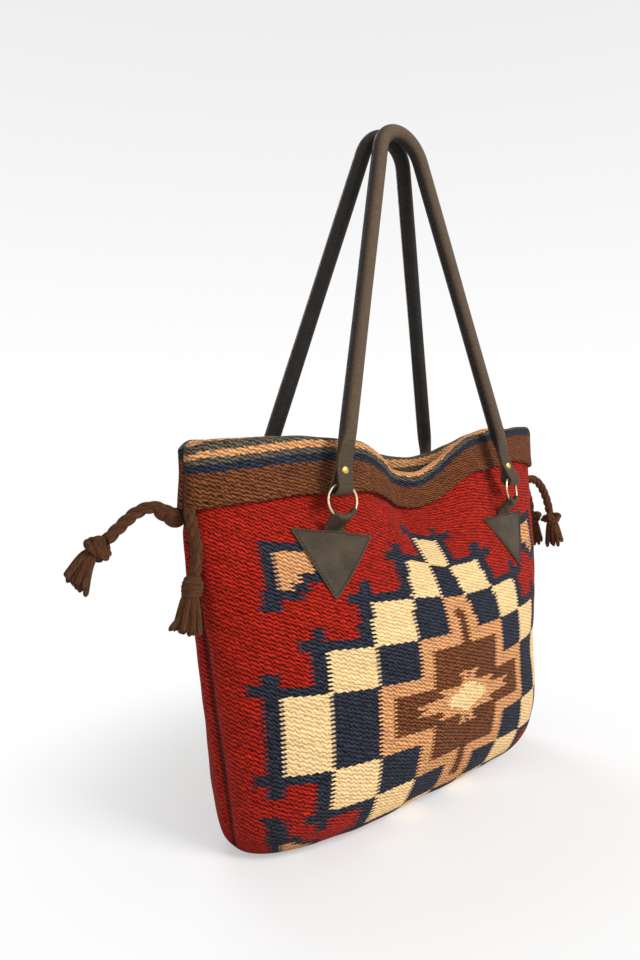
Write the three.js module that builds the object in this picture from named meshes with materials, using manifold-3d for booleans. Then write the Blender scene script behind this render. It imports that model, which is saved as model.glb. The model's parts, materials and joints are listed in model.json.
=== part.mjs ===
// A tote bag sewn from one woven blanket, stuffed full, with two rolled leather handles.
// Millimetres, +Z up, origin at the middle of the base. The front faces -Y.

import * as THREE from 'three';
import { mergeVertices } from 'three/addons/utils/BufferGeometryUtils.js';
import Module from 'manifold-3d';

const wasm = await Module();
wasm.setup();

// Woven body
const bagHeight = 337;
const mouthHalfWidth = 239;
const flareHeight = 265;
const baseHalfWidth = 197;
const cornerRadius = 14;
const bellyHalfDepth = 92;
const bellyHeight = 132;
const mouthHalfDepth = 27;
const baseHalfDepth = 24;
const clothThickness = 5;
const baseSectionPower = 4.2;
const bellySectionPower = 1.85;
const mouthSectionPower = 3.8;
const bellyRoundness = 2.4;
const seamGrooveDepth = 4;
const seamGrooveWidth = 6;

// The end of the blanket turned outward over the mouth
const cuffHeight = 50;
const cuffThickness = 4.6;
const cuffEdgeGap = 1.4;
const cuffNotchDepth = 7;
const cuffRounding = 1.2;
const cuffHollow = 0.6;

// Sag of the mouth between the handles, and the fold that runs down from it
const dipHalfWidth = 76;
const sagReach = 130;
const frontDip = { centre: -14, drop: 25, push: 8, crease: 6 };
const backDip = { centre: 14, drop: 13, push: 5, crease: 0 };
const creaseWidth = 15;
const creaseLength = 95;
const rightEndRise = 20;

// Leather tabs
const leatherThickness = 2;
const tabSpacing = 251;
const tabWidth = 84;
const tabDrop = 54;
const tabTurn = 8;
const tabCornerCut = 6;
const tabEdgeRounding = 0.5;
const tabBelowCuff = 26;
const neckWidth = 20;
const neckOverlap = 12;
const neckLift = 1.4;
const neckChamfer = 3.4;
const loopBelowCuff = 10;
const loopStandOff = 18;
const loopMouthAngle = 52;

// Rings
const ringInnerDiameter = 25.4;
const ringWire = 2.2;
const ringYaw = 12;

// Handles
const handleDiameter = 15;
const handleRise = 337;
const handleBendRadius = 31;
const handleEndWidth = 17;
const handleEndLength = 24;
const handleNeckLength = 26;
const handleWall = 2;
const handleSlit = 1.4;
const handleGap = 1.2;
const neckInset = 0.2;
const neckPlug = 3;
const rivetHeight = 14;
const rivetHeadDiameter = 7.2;
const rivetStemDiameter = 3.4;
const rivetDome = 1.6;
const rivetWasher = 0.8;
const rivetWasherShare = 0.85;

// Corner cords
const cordDiameter = 8.4;
const knotDiameter = 21;
const knotLength = 16;
const knotWaist = 0.14;
const knotEndShare = 0.5;
const brushLength = 22;
const brushDiameter = 24;
const brushRootShare = 0.4;
const brushRounding = 3;

// Clearances
const seatGap = 0.4;
const runningGap = 0.5;

// Mesh fineness
const columnsPerSide = 28;
const columnCrowding = 0.12;
const insideCrowding = 1.5;
const handleSides = 12;
const coreSides = 8;
const bendSteps = 11;
const neckSteps = 4;
const neckSides = 12;
const flatRoundness = 0.35;
const ringSides = 6;
const ringSegments = 24;
const turnedSides = 12;
const cordSteps = 11;

const lerp = THREE.MathUtils.lerp;
const smoothstep = THREE.MathUtils.smoothstep;

const cloth = new THREE.MeshStandardMaterial({ color: 0x96231a, roughness: 0.95 });
const yarn = new THREE.MeshStandardMaterial({ color: 0x8a2a1e, roughness: 0.95 });
const leather = new THREE.MeshStandardMaterial({ color: 0x4b4238, roughness: 0.55 });
const rope = new THREE.MeshStandardMaterial({ color: 0xb9a98a, roughness: 0.9 });
const ringMetal = new THREE.MeshStandardMaterial({ color: 0xc8b996, roughness: 0.3, metalness: 1 });
const brass = new THREE.MeshStandardMaterial({ color: 0xd7b45a, roughness: 0.35, metalness: 1 });

// Shared mesh helpers

function geometryFrom(points, triangles) {
  const geometry = new THREE.BufferGeometry();
  const flat = points.flatMap((point) => [point.x, point.y, point.z]);
  geometry.setAttribute('position', new THREE.Float32BufferAttribute(flat, 3));
  geometry.setIndex(triangles);
  if (signedVolume(geometry) < 0) {
    geometry.setIndex(flipped(triangles));
  }
  geometry.computeVertexNormals();
  return geometry;
}

function flipped(triangles) {
  const turned = [];
  for (let i = 0; i < triangles.length; i += 3) {
    turned.push(triangles[i], triangles[i + 2], triangles[i + 1]);
  }
  return turned;
}

function signedVolume(geometry) {
  const position = geometry.attributes.position;
  const index = geometry.index.array;
  const corner = [new THREE.Vector3(), new THREE.Vector3(), new THREE.Vector3()];
  let volume = 0;
  for (let i = 0; i < index.length; i += 3) {
    corner.forEach((point, k) => point.fromBufferAttribute(position, index[i + k]));
    volume += corner[0].dot(corner[1].clone().cross(corner[2])) / 6;
  }
  return volume;
}

// A closed skin through rings of points; each end is closed by a fan from its middle.
function skinRings(rings) {
  const points = rings.flat();
  const size = rings[0].length;
  const triangles = [];
  for (let row = 0; row < rings.length - 1; row += 1) {
    for (let column = 0; column < size; column += 1) {
      const next = (column + 1) % size;
      const a = row * size + column;
      const b = row * size + next;
      triangles.push(a, b, a + size, b, b + size, a + size);
    }
  }
  [[0, true], [rings.length - 1, false]].forEach(([row, isFirst]) => {
    const middle = new THREE.Vector3();
    rings[row].forEach((point) => middle.add(point));
    middle.divideScalar(size);
    points.push(middle);
    for (let column = 0; column < size; column += 1) {
      const a = row * size + column;
      const b = row * size + ((column + 1) % size);
      const fan = isFirst ? [b, a] : [a, b];
      triangles.push(...fan, points.length - 1);
    }
  });
  return geometryFrom(points, triangles);
}

function toSolid(geometry) {
  const bare = geometry.clone();
  bare.deleteAttribute('normal');
  bare.deleteAttribute('uv');
  const merged = mergeVertices(bare, 1e-4);
  return new wasm.Manifold(new wasm.Mesh({
    numProp: 3,
    vertProperties: new Float32Array(merged.attributes.position.array),
    triVerts: new Uint32Array(merged.index.array),
  }));
}

function toGeometry(solid) {
  const mesh = solid.getMesh();
  const geometry = new THREE.BufferGeometry();
  geometry.setAttribute('position', new THREE.BufferAttribute(mesh.vertProperties, 3));
  geometry.setIndex(new THREE.BufferAttribute(mesh.triVerts, 1));
  geometry.computeVertexNormals();
  return geometry;
}

function addMesh(parent, name, geometry, material) {
  const mesh = new THREE.Mesh(geometry, material);
  mesh.name = name;
  parent.add(mesh);
  return mesh;
}

// The form of the stuffed bag

function halfDepth(z) {
  if (z < bellyHeight) {
    const fall = Math.pow(1 - z / bellyHeight, bellyRoundness);
    return lerp(baseHalfDepth, bellyHalfDepth, Math.pow(1 - fall, 1 / bellyRoundness));
  }
  const rise = (z - bellyHeight) / (bagHeight - bellyHeight);
  return lerp(mouthHalfDepth, bellyHalfDepth, (1 + Math.cos(Math.PI * rise)) / 2);
}

// The sides flare out from the base and stand upright above the flare.
function halfWidth(z) {
  const straight = lerp(baseHalfWidth, mouthHalfWidth, Math.min(1, z / flareHeight));
  const into = Math.max(0, 1 - z / cornerRadius);
  return straight - cornerRadius * (1 - Math.sqrt(1 - into * into));
}

// Fullness of the section: square at the base and the mouth, round at the belly
function sectionPower(z) {
  if (z < bellyHeight) {
    return lerp(baseSectionPower, bellySectionPower, smoothstep(z, 0, bellyHeight));
  }
  return lerp(bellySectionPower, mouthSectionPower, smoothstep(z, bellyHeight, bagHeight));
}

// How far the mouth has sunk and folded in at a point of the wall
function sagAt(x, y, z) {
  const dip = y < 0 ? frontDip : backDip;
  const away = Math.min(1, Math.abs(x - dip.centre) / dipHalfWidth);
  const bump = Math.pow(Math.cos((away * Math.PI) / 2), 2);
  const fade = smoothstep(z, bagHeight - sagReach, bagHeight);
  const creaseTop = bagHeight - cuffHeight;
  const creaseLow = creaseTop - creaseLength;
  const creaseFade = smoothstep(z, creaseLow, creaseTop);
  const crease = dip.crease * Math.exp(-Math.pow((x - dip.centre) / creaseWidth, 2)) * creaseFade;
  const inward = dip.push * bump * fade + crease;
  const rise = rightEndRise * smoothstep(x, 0, mouthHalfWidth);
  return new THREE.Vector3(0, y < 0 ? inward : -inward, (rise - dip.drop * bump) * fade);
}

// A point of the wall at an angle round the bag; proud is how far it lies outside the outer face.
function wallPoint(angle, z, proud) {
  const wide = halfWidth(z) + proud;
  const deep = halfDepth(z) + proud;
  const across = Math.cos(angle);
  const spread = Math.pow(Math.abs(across), 2 / sectionPower(z));
  const point = new THREE.Vector3(Math.sign(across) * wide * spread, -deep * Math.sin(angle), z);
  const atSide = smoothstep(spread, 0.9, 1) * Math.exp(-Math.pow(point.y / seamGrooveWidth, 2));
  const lowFade = smoothstep(z, 0, cornerRadius);
  point.x -= Math.sign(across) * seamGrooveDepth * atSide * lowFade;
  return point.add(sagAt(point.x, point.y, z));
}

function sectionFace(x, z) {
  const share = Math.pow(Math.abs(x) / halfWidth(z), sectionPower(z));
  return -halfDepth(z) * Math.sqrt(1 - share);
}

// The outer face of the wall at a given place, as a height field seen from the front or, turned round,
// from behind. The sag moves the cloth up or down, so the height that the cloth came from is found first,
// by repeated correction.
function outerFace(x, z, behind) {
  const corrections = 4;
  const across = behind ? -x : x;
  const towards = behind ? 1 : -1;
  let from = z;
  for (let i = 0; i < corrections; i += 1) {
    from = z - sagAt(across, towards, from).z;
  }
  return sectionFace(x, from) + Math.abs(sagAt(across, towards, from).y);
}

function outerNormal(x, z, behind) {
  const step = 1;
  const slopeX = (outerFace(x + step, z, behind) - outerFace(x - step, z, behind)) / (2 * step);
  const slopeZ = (outerFace(x, z + step, behind) - outerFace(x, z - step, behind)) / (2 * step);
  return new THREE.Vector3(slopeX, -1, slopeZ).normalize();
}

// A point a given height above the outer face
function abovePoint(x, z, behind, height) {
  return new THREE.Vector3(x, outerFace(x, z, behind), z).addScaledVector(outerNormal(x, z, behind), height);
}

// Angles round the bag, closer together at the side seams and at the middle of each face
function columnAngles() {
  const angles = [];
  for (let side = 0; side < 2; side += 1) {
    for (let i = 0; i < columnsPerSide; i += 1) {
      const s = (2 * i) / columnsPerSide - 1;
      const turn = (s + 1) / 2 - (columnCrowding / Math.PI) * Math.sin(2 * Math.PI * s);
      angles.push(Math.PI * (side + turn));
    }
  }
  return angles;
}

// The wall in section: up the outside, round the cuff, over the fold and down the inside.
// Each row holds a height and how far it lies outside the outer face.
function wallProfile() {
  const cuffEdge = bagHeight - cuffHeight;
  const notch = cuffEdge + cuffNotchDepth;
  const cuffFace = cuffEdgeGap + cuffThickness;
  const lowerSteps = 8;
  const upperSteps = 9;
  const foldSteps = 6;
  const insideSteps = 9;
  const profile = [];
  for (let i = 0; i < lowerSteps; i += 1) {
    profile.push([bellyHeight * Math.pow(i / lowerSteps, 2), 0]);
  }
  for (let i = 0; i <= upperSteps; i += 1) {
    profile.push([lerp(bellyHeight, notch, i / upperSteps), 0]);
  }
  profile.push([cuffEdge + cuffRounding / 2, cuffEdgeGap]);
  profile.push([cuffEdge - cuffRounding / 2, cuffEdgeGap + cuffThickness / 2]);
  profile.push([cuffEdge + cuffRounding, cuffFace]);
  profile.push([cuffEdge + cuffHeight / 2, cuffFace - cuffHollow]);
  const foldRadius = (cuffFace + clothThickness) / 2;
  const foldMiddle = cuffFace - foldRadius;
  for (let i = 0; i <= foldSteps; i += 1) {
    const turn = (Math.PI * i) / foldSteps;
    const lift = foldRadius * (Math.sin(turn) - 1);
    profile.push([bagHeight + lift, foldMiddle + foldRadius * Math.cos(turn)]);
  }
  const insideTop = bagHeight - foldRadius;
  for (let i = 1; i <= insideSteps; i += 1) {
    const down = 1 - Math.pow(1 - i / insideSteps, insideCrowding);
    profile.push([lerp(insideTop, clothThickness, down), -clothThickness]);
  }
  profile.push([clothThickness, -2 * clothThickness]);
  return profile;
}

function wovenBody() {
  const angles = columnAngles();
  const rings = wallProfile().map(([z, proud]) => angles.map((angle) => wallPoint(angle, z, proud)));
  return skinRings(rings);
}

// Leather folded round a wire: two layers meeting below a loop, in the YZ plane, bored along X.
// The layers run from the loop along -Z for the given length, and the outer one ends in a chamfer.
function foldedLoop(width, bore, length, chamfer) {
  const outer = bore + leatherThickness;
  const half = leatherThickness;
  const start = -THREE.MathUtils.degToRad(loopMouthAngle);
  const profile = new THREE.Shape();
  profile.absarc(0, 0, outer, start, Math.PI - start, false);
  profile.lineTo(-half, -outer - half);
  profile.lineTo(-half, -length);
  profile.lineTo(half - chamfer, -length);
  profile.lineTo(half, -length + 2 * chamfer);
  profile.lineTo(half, -outer - half);
  profile.closePath();
  const hole = new THREE.Path();
  hole.absarc(0, 0, bore, 0, 2 * Math.PI, true);
  profile.holes.push(hole);
  const geometry = new THREE.ExtrudeGeometry(profile, { depth: width, bevelEnabled: false, curveSegments: 8 });
  geometry.translate(0, 0, -width / 2);
  geometry.rotateX(Math.PI / 2);
  geometry.rotateZ(-Math.PI / 2);
  return geometry;
}

const ringRadius = (ringInnerDiameter + ringWire) / 2;

// The wire of a ring that stands upright and is turned a little about its upright line
function ringSurface() {
  const yaw = THREE.MathUtils.degToRad(ringYaw);
  const upperTurn = 80;
  const turnStep = 2;
  const sideStep = 30;
  const points = [];
  for (let turn = -upperTurn; turn <= upperTurn; turn += turnStep) {
    for (let side = 0; side < 360; side += sideStep) {
      const phi = THREE.MathUtils.degToRad(turn);
      const theta = THREE.MathUtils.degToRad(side);
      const reach = ringRadius + (ringWire / 2) * Math.cos(theta);
      const along = reach * Math.sin(phi);
      const across = (ringWire / 2) * Math.sin(theta);
      points.push(new THREE.Vector3(
        along * Math.cos(yaw) - across * Math.sin(yaw),
        along * Math.sin(yaw) + across * Math.cos(yaw),
        reach * Math.cos(phi)));
    }
  }
  return points;
}

// The axis and bore of the tightest loop of a given width that the ring can turn in. The axis is measured
// from the middle of the ring. A slanted loop is reached by wire further out.
function loopFit(width, slope) {
  const wire = ringSurface();
  const tries = 120;
  const nearest = ringRadius / 2;
  const furthest = ringRadius + ringWire;
  let best = { axis: 0, bore: Infinity };
  for (let i = 0; i < tries; i += 1) {
    const axis = lerp(nearest, furthest, i / tries);
    let bore = 0;
    wire.forEach((point) => {
      const away = Math.hypot(point.y, point.z - axis);
      if (Math.abs(point.x) <= width / 2 + slope * (away + leatherThickness)) {
        bore = Math.max(bore, away + runningGap);
      }
    });
    if (bore < best.bore) {
      best = { axis, bore };
    }
  }
  return best;
}

// The straight legs of a handle run from the hinge line to the bend, which they touch.
const bendCentre = handleRise - handleBendRadius;
const legTurn = Math.atan2(tabSpacing / 2, bendCentre)
  - Math.asin(handleBendRadius / Math.hypot(tabSpacing / 2, bendCentre));
const legSlope = Math.tan(legTurn);
const legX = (z) => tabSpacing / 2 - legSlope * z;
const neckTop = handleEndLength + handleNeckLength;

const tabLoop = loopFit(neckWidth, 0);
const handleLoop = loopFit(handleEndWidth, legSlope);
const ringLink = tabLoop.axis + handleLoop.axis;

// The hinge line through both tabs, and the lean that brings the two handles together
const loopHeight = bagHeight - cuffHeight - loopBelowCuff;
const loopFaces = [-1, 1].map((hand) => outerFace((hand * tabSpacing) / 2, loopHeight, false));
const loopY = Math.min(...loopFaces) - loopStandOff;
const handleLean = Math.asin((-loopY - (handleDiameter + handleGap) / 2) / (ringLink + handleRise));

// Triangle of a tab with its corners cut round, flat, with its top edge on the X axis
function tabOutline() {
  const corners = [
    new THREE.Vector2(-tabWidth / 2, 0),
    new THREE.Vector2(0, -tabDrop),
    new THREE.Vector2(tabWidth / 2, 0),
  ];
  const edgeSteps = 4;
  const outline = [];
  corners.forEach((corner, i) => {
    const before = corners[(i + 2) % 3];
    const after = corners[(i + 1) % 3];
    const start = corner.clone().add(before.clone().sub(corner).setLength(tabCornerCut));
    const end = corner.clone().add(after.clone().sub(corner).setLength(tabCornerCut));
    const next = after.clone().add(corner.clone().sub(after).setLength(tabCornerCut));
    outline.push(start, start.clone().lerp(end, 0.5).lerp(corner, 0.5));
    for (let k = 0; k < edgeSteps; k += 1) {
      outline.push(end.clone().lerp(next, k / edgeSteps));
    }
  });
  return outline;
}

// The sewn triangle, bent to lie on the bag's front, its point turned outward
function tabPlate(tabX, behind) {
  const top = bagHeight - cuffHeight - tabBelowCuff;
  const turn = Math.sign(tabX) * THREE.MathUtils.degToRad(tabTurn);
  const outline = tabOutline().map((point) => point.rotateAround(new THREE.Vector2(), turn));
  const middle = new THREE.Vector2();
  outline.forEach((point) => middle.addScaledVector(point, 1 / outline.length));
  const layer = (share, depth) => outline.map((point) => {
    const flat = middle.clone().lerp(point, share);
    return abovePoint(tabX + flat.x, top + flat.y, behind, depth);
  });
  const back = seatGap;
  const front = seatGap + leatherThickness;
  const middleShare = 0.5;
  const faceShare = 1 - (2 * tabEdgeRounding) / tabDrop;
  return skinRings([
    layer(middleShare, back), layer(1, back), layer(1, front - tabEdgeRounding),
    layer(faceShare, front), layer(middleShare, front),
  ]);
}

function tab(tabX, behind) {
  const footZ = bagHeight - cuffHeight - tabBelowCuff - neckOverlap;
  const footLift = seatGap + leatherThickness + neckLift;
  const foot = abovePoint(tabX, footZ, behind, footLift);
  const eye = new THREE.Vector3(tabX, loopY, loopHeight);
  const length = Math.hypot(foot.y - eye.y, foot.z - eye.z);
  const neck = foldedLoop(neckWidth, tabLoop.bore, length, neckChamfer);
  neck.rotateX(Math.atan2(foot.y - eye.y, eye.z - foot.z));
  neck.translate(eye.x, eye.y, eye.z);
  return toGeometry(toSolid(tabPlate(tabX, behind)).add(toSolid(neck)));
}

function ring(side) {
  const geometry = new THREE.TorusGeometry(ringRadius, ringWire / 2, ringSides, ringSegments);
  geometry.rotateX(Math.PI / 2);
  geometry.rotateZ(side * THREE.MathUtils.degToRad(ringYaw));
  return geometry;
}

// Middle line of the rolled part in the handle's own plane: up one leg, round the bend, down the other
function handleLine() {
  const line = [new THREE.Vector3(-legX(neckTop), 0, neckTop)];
  const sweep = Math.PI - 2 * legTurn;
  for (let i = 0; i <= bendSteps; i += 1) {
    const angle = Math.PI - legTurn - (sweep * i) / bendSteps;
    line.push(new THREE.Vector3(
      handleBendRadius * Math.cos(angle), 0, bendCentre + handleBendRadius * Math.sin(angle)));
  }
  line.push(new THREE.Vector3(legX(neckTop), 0, neckTop));
  return line;
}

// Frames along a flat line: each point with the way to the inner side of the bend
function lineFrames(line) {
  const last = line.length - 1;
  return line.map((point, i) => {
    const before = line[Math.max(0, i - 1)];
    const after = line[Math.min(last, i + 1)];
    const forward = after.clone().sub(before).normalize();
    if (i === 0 || i === last) {
      forward.set(0, 0, Math.sign(forward.z));
    }
    return { point, inward: new THREE.Vector3(forward.z, 0, -forward.x) };
  });
}

const thickness = new THREE.Vector3(0, 1, 0);

function sectionRing(frame, section) {
  return section.map(([a, b]) => frame.point.clone()
    .addScaledVector(frame.inward, a).addScaledVector(thickness, b));
}

function circleSection(radius, sides) {
  return Array.from({ length: sides }, (unused, i) => {
    const angle = (2 * Math.PI * i) / sides;
    return [radius * Math.cos(angle), radius * Math.sin(angle)];
  });
}

// Rolled leather in section: a round wall, open along the slit on its inner side
function rolledSection() {
  const radius = handleDiameter / 2;
  const inner = radius - handleWall;
  const outerHalf = Math.asin(handleSlit / 2 / radius);
  const innerHalf = Math.asin(handleSlit / 2 / inner);
  const arc = (r, half, steps) => Array.from({ length: steps + 1 }, (unused, i) => {
    const angle = half + ((2 * Math.PI - 2 * half) * i) / steps;
    return [r * Math.cos(angle), r * Math.sin(angle)];
  });
  return [...arc(radius, outerHalf, handleSides), ...arc(inner, innerHalf, coreSides).reverse()];
}

// A skin along the frames whose two ends are the flat section itself
function skinSection(frames, section) {
  const points = frames.flatMap((frame) => sectionRing(frame, section));
  const size = section.length;
  const triangles = [];
  for (let row = 0; row < frames.length - 1; row += 1) {
    for (let column = 0; column < size; column += 1) {
      const next = (column + 1) % size;
      const a = row * size + column;
      const b = row * size + next;
      triangles.push(a, b, a + size, b, b + size, a + size);
    }
  }
  const flat = section.map(([a, b]) => new THREE.Vector2(a, b));
  const last = (frames.length - 1) * size;
  THREE.ShapeUtils.triangulateShape(flat, []).forEach(([a, b, c]) => {
    triangles.push(a, c, b, last + a, last + b, last + c);
  });
  return geometryFrom(points, triangles);
}

// The neck where a rolled leg flattens into the two layers that go round the ring
function handleNeck(side) {
  const radius = handleDiameter / 2 - neckInset;
  const flatWide = handleEndWidth / 2 - neckInset;
  const flatDeep = leatherThickness - neckInset;
  const heights = [rivetHeight, handleEndLength - neckInset];
  for (let i = 1; i <= neckSteps; i += 1) {
    heights.push(lerp(handleEndLength, neckTop, i / neckSteps));
  }
  heights.push(neckTop + neckPlug);
  return skinRings(heights.map((z) => {
    const share = smoothstep(z, handleEndLength, neckTop);
    const wide = lerp(flatWide, radius, share);
    const deep = lerp(flatDeep, radius, share);
    const round = lerp(flatRoundness, 1, share);
    const bowed = (value) => Math.sign(value) * Math.pow(Math.abs(value), round);
    const section = circleSection(1, neckSides).map(([a, b]) => [wide * bowed(a), deep * bowed(b)]);
    const point = new THREE.Vector3(side * legX(z), 0, z);
    return sectionRing({ point, inward: new THREE.Vector3(1, 0, 0) }, section);
  }));
}

// The two flat layers round the ring, slanted to run in line with the leg
function handleEnd(side) {
  const end = foldedLoop(handleEndWidth, handleLoop.bore, handleEndLength, 0);
  end.rotateX(Math.PI);
  end.applyMatrix4(new THREE.Matrix4().makeShear(0, 0, 0, 0, -side * legSlope, 0));
  end.translate((side * tabSpacing) / 2, 0, 0);
  return end;
}

function rivetHole(side) {
  const radius = rivetStemDiameter / 2 + seatGap;
  const hole = new THREE.CylinderGeometry(radius, radius, handleDiameter, turnedSides);
  hole.translate(side * legX(rivetHeight), 0, rivetHeight);
  return hole;
}

function handleSleeve() {
  let solid = toSolid(skinSection(lineFrames(handleLine()), rolledSection()));
  [-1, 1].forEach((side) => {
    solid = solid.add(toSolid(handleNeck(side))).add(toSolid(handleEnd(side)));
    solid = solid.subtract(toSolid(rivetHole(side)));
  });
  return toGeometry(solid);
}

// The rope inside a rolled handle, from one neck to the other
function handleCore() {
  const frames = lineFrames(handleLine());
  const radius = handleDiameter / 2 - handleWall - seatGap;
  const section = circleSection(radius, coreSides);
  const share = (neckPlug + seatGap) / frames[0].point.distanceTo(frames[1].point);
  frames[0].point.lerp(frames[1].point, share);
  frames[frames.length - 1].point.lerp(frames[frames.length - 2].point, share);
  return skinRings(frames.map((frame) => sectionRing(frame, section)));
}

// Rivet: a domed cap in front, a stem through the leather and a flat washer head behind
function rivet() {
  const head = rivetHeadDiameter / 2;
  const stem = rivetStemDiameter / 2;
  const face = leatherThickness + seatGap;
  const washer = rivetWasherShare * head;
  const dome = [1, 2, 3].map((step) => {
    const turn = (step * Math.PI) / 6;
    return [head * Math.sin(turn), -face - rivetDome * Math.cos(turn)];
  });
  const profile = [
    [0, -face - rivetDome], ...dome, [stem, -face], [stem, face],
    [washer, face], [washer, face + rivetWasher], [0, face + rivetWasher],
  ];
  return new THREE.LatheGeometry(profile.map(([r, y]) => new THREE.Vector2(r, y)), turnedSides);
}

// Everything that hangs on the front: two tabs, two rings and a handle. The back is the same, turned round.
function carryingSide(side) {
  const group = new THREE.Group();
  const nameOf = { [-1]: side === 'front' ? 'left' : 'right', 1: side === 'front' ? 'right' : 'left' };
  const swing = new THREE.Group();
  swing.position.set(0, loopY, loopHeight);
  swing.rotation.x = -handleLean;
  const handle = new THREE.Group();
  handle.position.z = ringLink;
  [-1, 1].forEach((hand) => {
    const x = (hand * tabSpacing) / 2;
    const name = `${side}_${nameOf[hand]}`;
    addMesh(group, `${name}_tab`, tab(x, side === 'back'), leather);
    addMesh(swing, `${name}_ring`, ring(hand), ringMetal).position.set(x, 0, tabLoop.axis);
    addMesh(handle, `${name}_rivet`, rivet(), brass).position.set(hand * legX(rivetHeight), 0, rivetHeight);
  });
  addMesh(handle, `${side}_handle_sleeve`, handleSleeve(), leather);
  addMesh(handle, `${side}_handle_core`, handleCore(), rope);
  swing.add(handle);
  group.add(swing);
  return group;
}

// Corner cords of the blanket, from under the cuff at the side seams
const outwardCord = [
  [-235.8, 9, 279.4], [-241, 9.6, 279.8], [-245.6, 10.2, 281], [-248.2, 10.6, 282.1], [-250.8, 11, 283.2],
  [-253.6, 11.3, 284.5], [-256.6, 11.6, 285.4], [-259.8, 11.9, 286], [-263, 12.2, 286], [-269, 12.8, 284.6],
  [-275, 13.4, 281.8], [-280.5, 14, 277.8], [-286, 14.6, 273.2], [-291.5, 15.2, 268.4], [-297, 15.8, 263.6],
];
const hangingCord = [
  [-241.4, -8, 285.6], [-241.2, -8.3, 282.3], [-240.9, -8.6, 279], [-240.5, -9.1, 275.9], [-240.1, -9.6, 272.8],
  [-239.7, -10.2, 269.7], [-239.3, -10.8, 266.6], [-238.9, -11.3, 263.5], [-238.6, -11.8, 260.4],
  [-238.3, -12.2, 257.3], [-238.2, -12.6, 254.2], [-238.3, -13, 251.1], [-238.6, -13.4, 248],
  [-239.8, -14, 241.8], [-241.8, -14.6, 234.6],
];
const droopingCord = [
  [236.4, -9, 294], [239.5, -9.2, 294.3], [242.6, -9.4, 294.4], [245.3, -9.7, 294.2], [248, -10, 293.8],
  [250.8, -10.3, 292.8], [253.6, -10.6, 291.6], [256.3, -10.9, 289.9], [259, -11.2, 288], [264, -11.6, 283.4],
  [268.4, -12, 278], [272.2, -12.4, 272.2], [275.4, -12.6, 266.2], [278.2, -12.8, 260], [280.6, -13, 253.8],
];
const droopingCordBehind = droopingCord.map(([x, y, z]) => [x, -y, z]);

function cordTube(route) {
  const section = new THREE.Shape();
  section.absarc(0, 0, cordDiameter / 2, 0, 2 * Math.PI, false);
  const path = new THREE.CatmullRomCurve3(route.map(([x, y, z]) => new THREE.Vector3(x, y, z)));
  return new THREE.ExtrudeGeometry(section, { steps: cordSteps, curveSegments: 5, extrudePath: path });
}

// Overhand knot as its outer form: two wraps with a waist between them
function knot() {
  const steps = 8;
  const end = knotEndShare * (knotDiameter / 2);
  const swell = knotDiameter / 2 - end;
  const profile = [new THREE.Vector2(0, 0)];
  for (let i = 0; i <= steps; i += 1) {
    const share = i / steps;
    const bulge = Math.sqrt(Math.sin(Math.PI * share));
    const waist = 1 - knotWaist * Math.exp(-Math.pow((share - 0.5) * steps, 2));
    profile.push(new THREE.Vector2((end + swell * bulge) * waist, knotLength * share));
  }
  profile.push(new THREE.Vector2(0, knotLength));
  return new THREE.LatheGeometry(profile, turnedSides);
}

// Loose yarn below a knot, spreading into a brush
function brush() {
  const steps = 3;
  const full = brushDiameter / 2;
  const profile = [new THREE.Vector2(0, 0)];
  for (let i = 0; i <= steps; i += 1) {
    const share = i / steps;
    const spread = lerp(brushRootShare, 1, Math.sin((share * Math.PI) / 2));
    profile.push(new THREE.Vector2(full * spread, (brushLength - brushRounding) * share));
  }
  profile.push(new THREE.Vector2(full - brushRounding, brushLength), new THREE.Vector2(0, brushLength));
  return new THREE.LatheGeometry(profile, turnedSides);
}

function cornerCord(parent, name, route) {
  addMesh(parent, `${name}_cord`, cordTube(route), yarn);
  const points = route.map(([x, y, z]) => new THREE.Vector3(x, y, z));
  const end = points[points.length - 1];
  const way = end.clone().sub(points[points.length - 2]).normalize();
  const turn = new THREE.Quaternion().setFromUnitVectors(new THREE.Vector3(0, 1, 0), way);
  const knotMesh = addMesh(parent, `${name}_knot`, knot(), yarn);
  knotMesh.position.copy(end).addScaledVector(way, seatGap);
  knotMesh.quaternion.copy(turn);
  const brushMesh = addMesh(parent, `${name}_brush`, brush(), yarn);
  const knotEnd = knotLength + seatGap;
  brushMesh.position.copy(knotMesh.position).addScaledVector(way, knotEnd);
  brushMesh.quaternion.copy(turn);
}

const bag = new THREE.Group();
addMesh(bag, 'woven_body', wovenBody(), cloth);
['front', 'back'].forEach((side) => {
  const carrying = carryingSide(side);
  carrying.rotation.z = side === 'front' ? 0 : Math.PI;
  bag.add(carrying);
});
cornerCord(bag, 'back_left', outwardCord);
cornerCord(bag, 'front_left', hangingCord);
cornerCord(bag, 'front_right', droopingCord);
cornerCord(bag, 'back_right', droopingCordBehind);

export default bag;
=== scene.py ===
"""Looks of a tote bag sewn from one woven blanket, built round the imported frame.

Metres, +Z up, the origin in the middle of the base, the front facing -Y. The sizes named here are in
millimetres, and MM turns them to metres where a mesh is made.
"""

import json
import math

import bmesh
import bpy
import numpy as np
from mathutils import Matrix


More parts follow.
